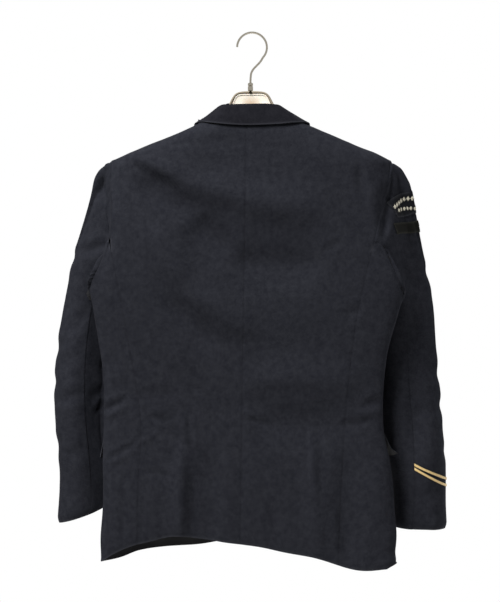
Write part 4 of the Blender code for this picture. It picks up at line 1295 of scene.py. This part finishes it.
def turned(name: str, profile: Sequence[Pair], middle: Place, lean: float = 0.0, sides: int = 48) -> Thing:
    """Turns a round piece.

    Args:
        name: the piece's name.
        profile: the radius and height of each ring, from one cap to the other, in millimetres.
        middle: where its foot stands, in metres.
        lean: how far its axis leans from upright towards the front, in degrees.
        sides: how many faces go round it.

    Returns:
        The piece, closed, with its faces out.
    """
    radius, height = profile[0]
    cap = {"radius": radius * MM, "fill_type": "NGON", "location": (0, 0, height * MM)}
    thing = start_from(bpy.ops.mesh.primitive_circle_add, name, vertices=sides, **cap)
    bpy.ops.object.transform_apply(location=True)
    edit(thing, "SELECT")
    for (wide, low), (narrow, high) in zip(profile, profile[1:]):
        bpy.ops.mesh.extrude_region_move(TRANSFORM_OT_translate={"value": (0, 0, (high - low) * MM)})
        share = narrow / wide
        bpy.ops.transform.resize(value=(share, share, 1), center_override=(0, 0, high * MM))
    bpy.ops.mesh.select_all(action="SELECT")
    bpy.ops.mesh.normals_make_consistent(inside=False)
    bpy.ops.object.mode_set(mode="OBJECT")
    thing.rotation_euler = (radians(-lean), 0, 0)
    thing.location = middle
    bpy.ops.object.transform_apply(location=True, rotation=True)
    return thing


def bent_wire(name: str, route: Sequence[Place], radius: float, tip: float, steps: int = 5) -> Thing:
    """Bends a round wire.

    Args:
        name: the piece's name.
        route: the points that its middle runs through, in millimetres.
        radius: the wire's radius, in millimetres.
        tip: how far its ends are rounded, in millimetres.
        steps: how finely it is divided, between the points of its route and round a quarter of it.

    Returns:
        The wire, as a mesh.
    """
    thing = start_from(bpy.ops.curve.primitive_bezier_curve_add, name)
    curve = thing.data
    points = curve.splines[0].bezier_points
    points.add(len(route) - len(points))
    for point, place in zip(points, route):
        point.co = Vector(place) * MM
        point.handle_left_type = point.handle_right_type = "AUTO"
    curve.resolution_u = curve.bevel_resolution = steps
    curve.bevel_depth = radius * MM
    curve.use_fill_caps = True
    bpy.ops.object.convert(target="MESH")
    modify(thing, "BEVEL", width=tip * MM, segments=3, limit_method="ANGLE", angle_limit=radians(SQUARE))
    return thing


def smooth_copy(node: str, name: str, levels: int) -> Thing:
    """Copies a solid that is drawn with few faces and makes it smooth.

    Args:
        node: the solid's name.
        name: the copy's name.
        levels: how often its faces are divided.

    Returns:
        The copy.
    """
    thing = put_in(name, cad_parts[node].data.copy())
    thing.data.name = name
    edit(thing, "SELECT")
    bpy.ops.mesh.remove_doubles(threshold=MERGE)
    bpy.ops.mesh.tris_convert_to_quads(face_threshold=radians(SQUARE), shape_threshold=radians(SQUARE))
    bpy.ops.object.mode_set(mode="OBJECT")
    if levels:
        modify(thing, "SUBSURF", levels=levels, render_levels=levels)
    return thing


def hand_over(thing: Thing, node: str, finish: Finish, corner: float = 40) -> None:
    """Dresses a finished piece and lets it stand for its solid.

    Args:
        thing: the piece.
        node: the solid it replaces, or "" where it is new.
        finish: its finish.
        corner: corners sharper than this stay sharp, in degrees.
    """
    thing.data.materials.clear()
    thing.data.materials.append(material(finish))
    smooth_by(thing, corner)
    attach(thing, BODY)
    if node:
        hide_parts(node)
    LOG.info("%s: %d faces", thing.name, len(thing.data.polygons))


@dataclass
class Hanger:
    """The moulded hanger: its shoulders and neck, the web in the neck's arch, and the hook's locking pin."""

    rim: float = 1.6
    rim_slope: float = 0.6
    rim_stands: float = 2.6
    rim_round: float = 0.3
    flat_within: float = 2.0
    dish: float = 1.0
    faces_out: float = 0.9
    neck_half: float = 5.2
    pin_radius: float = 2.3
    pin_sides: int = 24
    pin_chamfer: Pair = (0.6, 0.4)
    pin_height: float = -100.2
    pin_stands: float = 0.5

    def build(self) -> None:
        """Builds the three pieces."""
        body = smooth_copy("hanger", "hanger_body", levels=2)
        hand_over(body, "hanger", MOULDING)
        self.build_web()
        self.build_pin()

    def build_web(self) -> None:
        """Raises both faces of the web and dishes them inside a rim."""
        web = smooth_copy("hanger_web", "hanger_neck_web", levels=0)
        for way in (-1, 1):
            raised = {"value": (0, way * self.rim_stands * MM, 0)}
            edit(web, "SELECT")
            bpy.ops.mesh.dissolve_limited(angle_limit=radians(self.flat_within))
            bpy.ops.mesh.select_all(action="DESELECT")
            bpy.ops.object.mode_set(mode="OBJECT")
            for face in web.data.polygons:
                face.select = face.normal.y * way > self.faces_out
            bpy.ops.object.mode_set(mode="EDIT")
            bpy.ops.mesh.extrude_region_move(TRANSFORM_OT_translate=raised)
            bpy.ops.mesh.inset(thickness=self.rim * MM, depth=0)
            bpy.ops.mesh.inset(thickness=self.rim * self.rim_slope * MM, depth=-self.dish * MM)
            bpy.ops.object.mode_set(mode="OBJECT")
        modify(web, "BEVEL", width=self.rim_round * MM, segments=2)
        hand_over(web, "hanger_web", WEB)

    def build_pin(self) -> None:
        """Turns the pin that runs through the neck from back to front."""
        low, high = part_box("ferrule")
        half = self.neck_half + self.pin_stands
        radius = self.pin_radius
        across, along = self.pin_chamfer
        ends = ((radius - across, half), (radius, half - along))
        profile = [(wide, -far) for wide, far in ends] + list(reversed(ends))
        place = ((low[0] + high[0]) / 2, 0, self.pin_height * MM)
        pin = turned("hanger_pin", profile, place, lean=90, sides=self.pin_sides)
        hand_over(pin, "", PIN)


@dataclass
class Hook:
    """The hook: one bent wire, and the ferrule that it turns in."""

    wire: float = 1.75
    wire_round: float = 0.9
    bend: float = 25.3
    start: int = -42
    end: int = 178
    step: int = 11
    stem: tuple[Pair, ...] = (
        (-2.7, -96.5), (-2.6, -85.6), (-2.2, -73.6), (-1.0, -66.6), (2.4, -60.6), (8.1, -54.4),
        (13.9, -48.2),
    )
    ferrule: tuple[Pair, ...] = (
        (3.3, 0.0), (4.1, 0.3), (4.4, 1.0), (4.4, 7.0), (3.9, 7.5), (3.6, 8.2), (3.9, 8.9), (4.4, 9.4),
        (4.4, 11.9), (4.1, 12.9), (3.3, 13.5), (2.1, 13.6),
    )

    def build(self) -> None:
        """Bends the wire and turns the ferrule."""
        centre = self.wire - self.bend
        route = [(x, 0.0, z) for x, z in self.stem]
        for angle in range(self.start, self.end + 1, self.step):
            route.append((self.bend * cos(radians(angle)), 0.0, centre + self.bend * sin(radians(angle))))
        wire = bent_wire("hook_wire", route, self.wire, self.wire_round)
        hand_over(wire, "hook", STEEL)
        low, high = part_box("ferrule")
        foot = ((low[0] + high[0]) / 2, (low[1] + high[1]) / 2, low[2])
        sleeve = turned("hook_ferrule", self.ferrule, foot)
        hand_over(sleeve, "ferrule", STEEL)


@dataclass
class Buttons:
    """The two front buttons: dished, with a rim, four holes and a cross of thread."""

    nodes: tuple[str, ...] = ("front_button_1", "front_button_2")
    profile: tuple[Pair, ...] = (
        (7.6, 0.0), (9.2, 0.5), (10.0, 1.4), (10.0, 2.4), (9.5, 3.2), (8.8, 3.5), (8.0, 3.3), (7.2, 2.7),
        (6.4, 2.4), (2.0, 2.4),
    )
    thick: float = 3.5
    hole_sides: int = 16
    hole_radius: float = 1.0
    hole_depth: float = 20.0
    hole_off: float = 1.9
    thread: float = 0.4
    thread_round: float = 0.1
    # Where a strand runs, in shares of the holes' place, and how far over the button's face
    strand: tuple[Pair, ...] = ((-1, -1.2), (-0.7, 0.35), (0, 0.5), (0.7, 0.35), (1, -1.2))
    cross_lift: float = 0.25

    def build(self) -> None:
        """Makes each button where its solid is."""
        for number, node in enumerate(self.nodes, 1):
            low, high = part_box(node)
            foot = ((low[0] + high[0]) / 2, high[1] - self.thick * MM, (low[2] + high[2]) / 2)
            button = turned(f"button_{number}", self.profile, foot, lean=-90)
            self.drill(button, foot)
            hand_over(button, node, HORN)
            self.sew(number, foot)

    def drill(self, button: Thing, foot: Place) -> None:
        """Cuts the four holes.

        Args:
            button: the button.
            foot: where it stands, in metres.
        """
        size = {"vertices": self.hole_sides, "rotation": (radians(90), 0, 0)}
        size |= {"radius": self.hole_radius * MM, "depth": self.hole_depth * MM}
        for across, up in ((-1, -1), (-1, 1), (1, -1), (1, 1)):
            place = Vector(foot) + Vector((across, 0, up)) * self.hole_off * MM
            drill = start_from(bpy.ops.mesh.primitive_cylinder_add, "drill", location=place, **size)
            modify(button, "BOOLEAN", operation="DIFFERENCE", object=drill)
            bpy.data.objects.remove(drill)

    def sew(self, number: int, foot: Place) -> None:
        """Sews a cross of thread through the holes.

        Args:
            number: the button's number.
            foot: where it stands, in metres.
        """
        middle, face = Vector(foot) / MM, self.profile[-1][1]
        for across, way in ((-1, "down"), (1, "up")):
            route = []
            for share, over in self.strand:
                off = share * self.hole_off
                lift = 0 if share else self.cross_lift * across
                route.append(middle + Vector((across * off, face + over + lift, off)))
            strand = bent_wire(f"button_{number}_thread_{way}", route, self.thread, self.thread_round)
            hand_over(strand, "", SEWING)


@dataclass
class BadgeMotif:
    """A generic motif on the badge: an arched row of lozenges over a row of short bars, in raised thread."""

    axis: Pair = (236.0, 22.0)
    crown: float = -15.0
    arch_ends: tuple[int, int] = (-82, 40)
    arch_height: float = -279.5
    arch_drop: float = 16.0
    row_ends: tuple[int, int] = (-68, 28)
    row_height: float = -296.5
    row_drop: float = 4.5
    pitch: float = 7.2
    lozenge: Pair = (3.2, 4.2)
    lozenge_sides: int = 4
    bar: Pair = (2.5, 3.3)
    bar_sides: int = 8
    wall: float = 0.42
    cushion: float = 0.28
    slope: float = 0.8
    soft_edge: float = 0.25
    outside: float = 100.0

    def build(self, badge: Thing) -> None:
        """Sews the two rows on the badge.

        Args:
            badge: the finished badge.
        """
        ground = ground_of(badge.data)
        lozenge = self.model(self.lozenge_sides, self.lozenge)
        bar = self.model(self.bar_sides, self.bar)
        pieces = self.row(ground, lozenge, self.arch_ends, self.arch_height, self.arch_drop)
        pieces += self.row(ground, bar, self.row_ends, self.row_height, self.row_drop)
        bpy.data.objects.remove(lozenge)
        bpy.data.objects.remove(bar)
        only(pieces[0])
        for piece in pieces:
            piece.select_set(True)
        bpy.ops.object.join()
        pieces[0].name = pieces[0].data.name = "badge_motif"
        hand_over(pieces[0], "", PALE_THREAD)

    def model(self, sides: int, size: Pair) -> Thing:
        """Models one raised spot of satin stitch, lying at the origin.

        Args:
            sides: how many sides it has.
            size: half its width and half its height, in millimetres.

        Returns:
            The spot.
        """
        spot = start_from(
            bpy.ops.mesh.primitive_circle_add, "spot_model", vertices=sides, radius=MM, fill_type="NGON"
        )
        edit(spot, "SELECT")
        bpy.ops.transform.resize(value=(size[0], size[1], 1), center_override=(0, 0, 0))
        bpy.ops.mesh.extrude_region_move(TRANSFORM_OT_translate={"value": (0, 0, self.wall * MM)})
        bpy.ops.mesh.inset(thickness=self.slope * MM, depth=self.cushion * MM)
        bpy.ops.mesh.select_all(action="SELECT")
        bpy.ops.mesh.normals_make_consistent(inside=False)
        bpy.ops.object.mode_set(mode="OBJECT")
        modify(spot, "BEVEL", width=self.soft_edge * MM, segments=2)
        return spot

    def row(
        self, ground: BVHTree, model: Thing, ends: tuple[int, int], height: float, drop: float
    ) -> list[Thing]:
        """Sets copies of a spot side by side.

        Args:
            ground: the badge, in millimetres.
            model: the spot to copy.
            ends: the angles round the sleeve that the row runs between.
            height: how high its middle is.
            drop: how far its ends hang below that.

        Returns:
            The copies.
        """
        made = []
        last = None
        for angle in range(*ends):
            z = height - drop * ((angle - self.crown) / (ends[0] - self.crown)) ** 2
            way = Vector((cos(radians(angle)), sin(radians(angle)), 0))
            start = Vector((*self.axis, z)) + way * self.outside
            spot, normal, _, _ = ground.ray_cast(start, -way)
            if spot is None or (last and (spot - last).length < self.pitch):
                continue
            last = spot
            across = Vector((0, 0, 1)).cross(normal).normalized()
            turn = Matrix((across, normal.cross(across), normal)).transposed().to_4x4()
            mesh = model.data.copy()
            mesh.transform(Matrix.Translation(spot * MM) @ turn)
            made.append(put_in("badge_spot", mesh))
        return made


# Studio


@dataclass(frozen=True)
class Lamp:
    """A large soft lamp: its place and its width in metres, and its power in watts."""

    name: str
    place: Place
    size: float
    power: float


@dataclass
class Studio:
    """The pale floor, the soft light and the camera, which stands level behind the jacket as in the photo."""

    camera_place: Place = (-0.0034, -2.4, -0.4546)
    lens: float = 84.42
    sensor: float = 36.0
    floor_level: float = -1.9
    floor_radius: float = 2.0
    floor_sides: int = 96
    daylight: float = 0.1
    backdrop: float = 1.0
    gloss: float = 0.55
    aim: Place = (0, 0, -0.45)
    lamps: tuple[Lamp, ...] = (
        Lamp("key", (-1.9, -2.1, 2.9), 2.0, 425),
        Lamp("fill", (2.1, -1.2, 0.5), 1.4, 14),
        Lamp("rim", (1.5, 0.8, -0.75), 0.8, 22),
        Lamp("front", (0.9, 2.1, 0.7), 1.2, 45),
    )

    def build(self) -> None:
        """Makes the floor, the light and the camera."""
        self.make_floor()
        self.make_surround()
        self.make_lamps()
        self.make_camera()

    def make_floor(self) -> None:
        """Lays a round pale floor below the jacket."""
        circle = {"vertices": self.floor_sides, "radius": self.floor_radius, "fill_type": "NGON"}
        place = (0, 0, self.floor_level)
        floor = start_from(bpy.ops.mesh.primitive_circle_add, "studio_floor", location=place, **circle)
        bpy.ops.object.transform_apply(location=True)
        floor.data.materials.append(material(FLOOR))

    def make_surround(self) -> None:
        """Makes an even pale surround: white to the camera, dim as light, and between the two in gloss."""
        world = bpy.data.worlds.new("studio")
        world.use_nodes = True
        tree = world.node_tree
        sky = tree.nodes["Background"].inputs
        sky["Color"].default_value = (1.0, 1.0, 1.0, 1.0)
        paths = add_node(tree, "LightPath").outputs
        seen = {"operation": "MULTIPLY_ADD", 1: self.backdrop - self.daylight, 2: self.daylight}
        level = add_node(tree, "Math", seen, {0: paths["Is Camera Ray"]}).outputs[0]
        mirrored = {"operation": "MULTIPLY_ADD", 1: self.gloss - self.daylight}
        level = add_node(tree, "Math", mirrored, {0: paths["Is Glossy Ray"], 2: level}).outputs[0]
        tree.links.new(level, sky["Strength"])
        bpy.context.scene.world = world
        bpy.context.scene.view_settings.view_transform = "Standard"

    def make_lamps(self) -> None:
        """Hangs the four lamps, which light the jacket without being mirrored in the hook."""
        for lamp in self.lamps:
            light = bpy.data.lights.new(f"{lamp.name}_lamp", "AREA")
            light.size = lamp.size
            light.energy = lamp.power
            holder = put_in(f"{lamp.name}_lamp", light)
            holder.location = lamp.place
            holder.visible_glossy = False
            aim = Vector(self.aim) - Vector(lamp.place)
            holder.rotation_euler = aim.to_track_quat("-Z", "Y").to_euler()

    def make_camera(self) -> None:
        """Sets the camera up at the photograph's distance and height."""
        eye = bpy.data.cameras.new("camera")
        eye.lens = self.lens
        eye.sensor_width = self.sensor
        camera = put_in("camera", eye)
        camera.location = self.camera_place
        camera.rotation_euler = (radians(90), 0, 0)
        bpy.context.scene.camera = camera


def main() -> None:
    """Builds the jacket, its hardware and the studio."""
    logging.basicConfig(level=logging.INFO, format="%(name)s: %(message)s")
    garment = Garment()
    garment.build()
    badge = next(piece for piece in garment.laid if piece.node == "sleeve_badge")
    BadgeMotif().build(badge.shape)
    Hanger().build()
    Hook().build()
    Buttons().build()
    Studio().build()


if __name__ == "__main__":
    main()
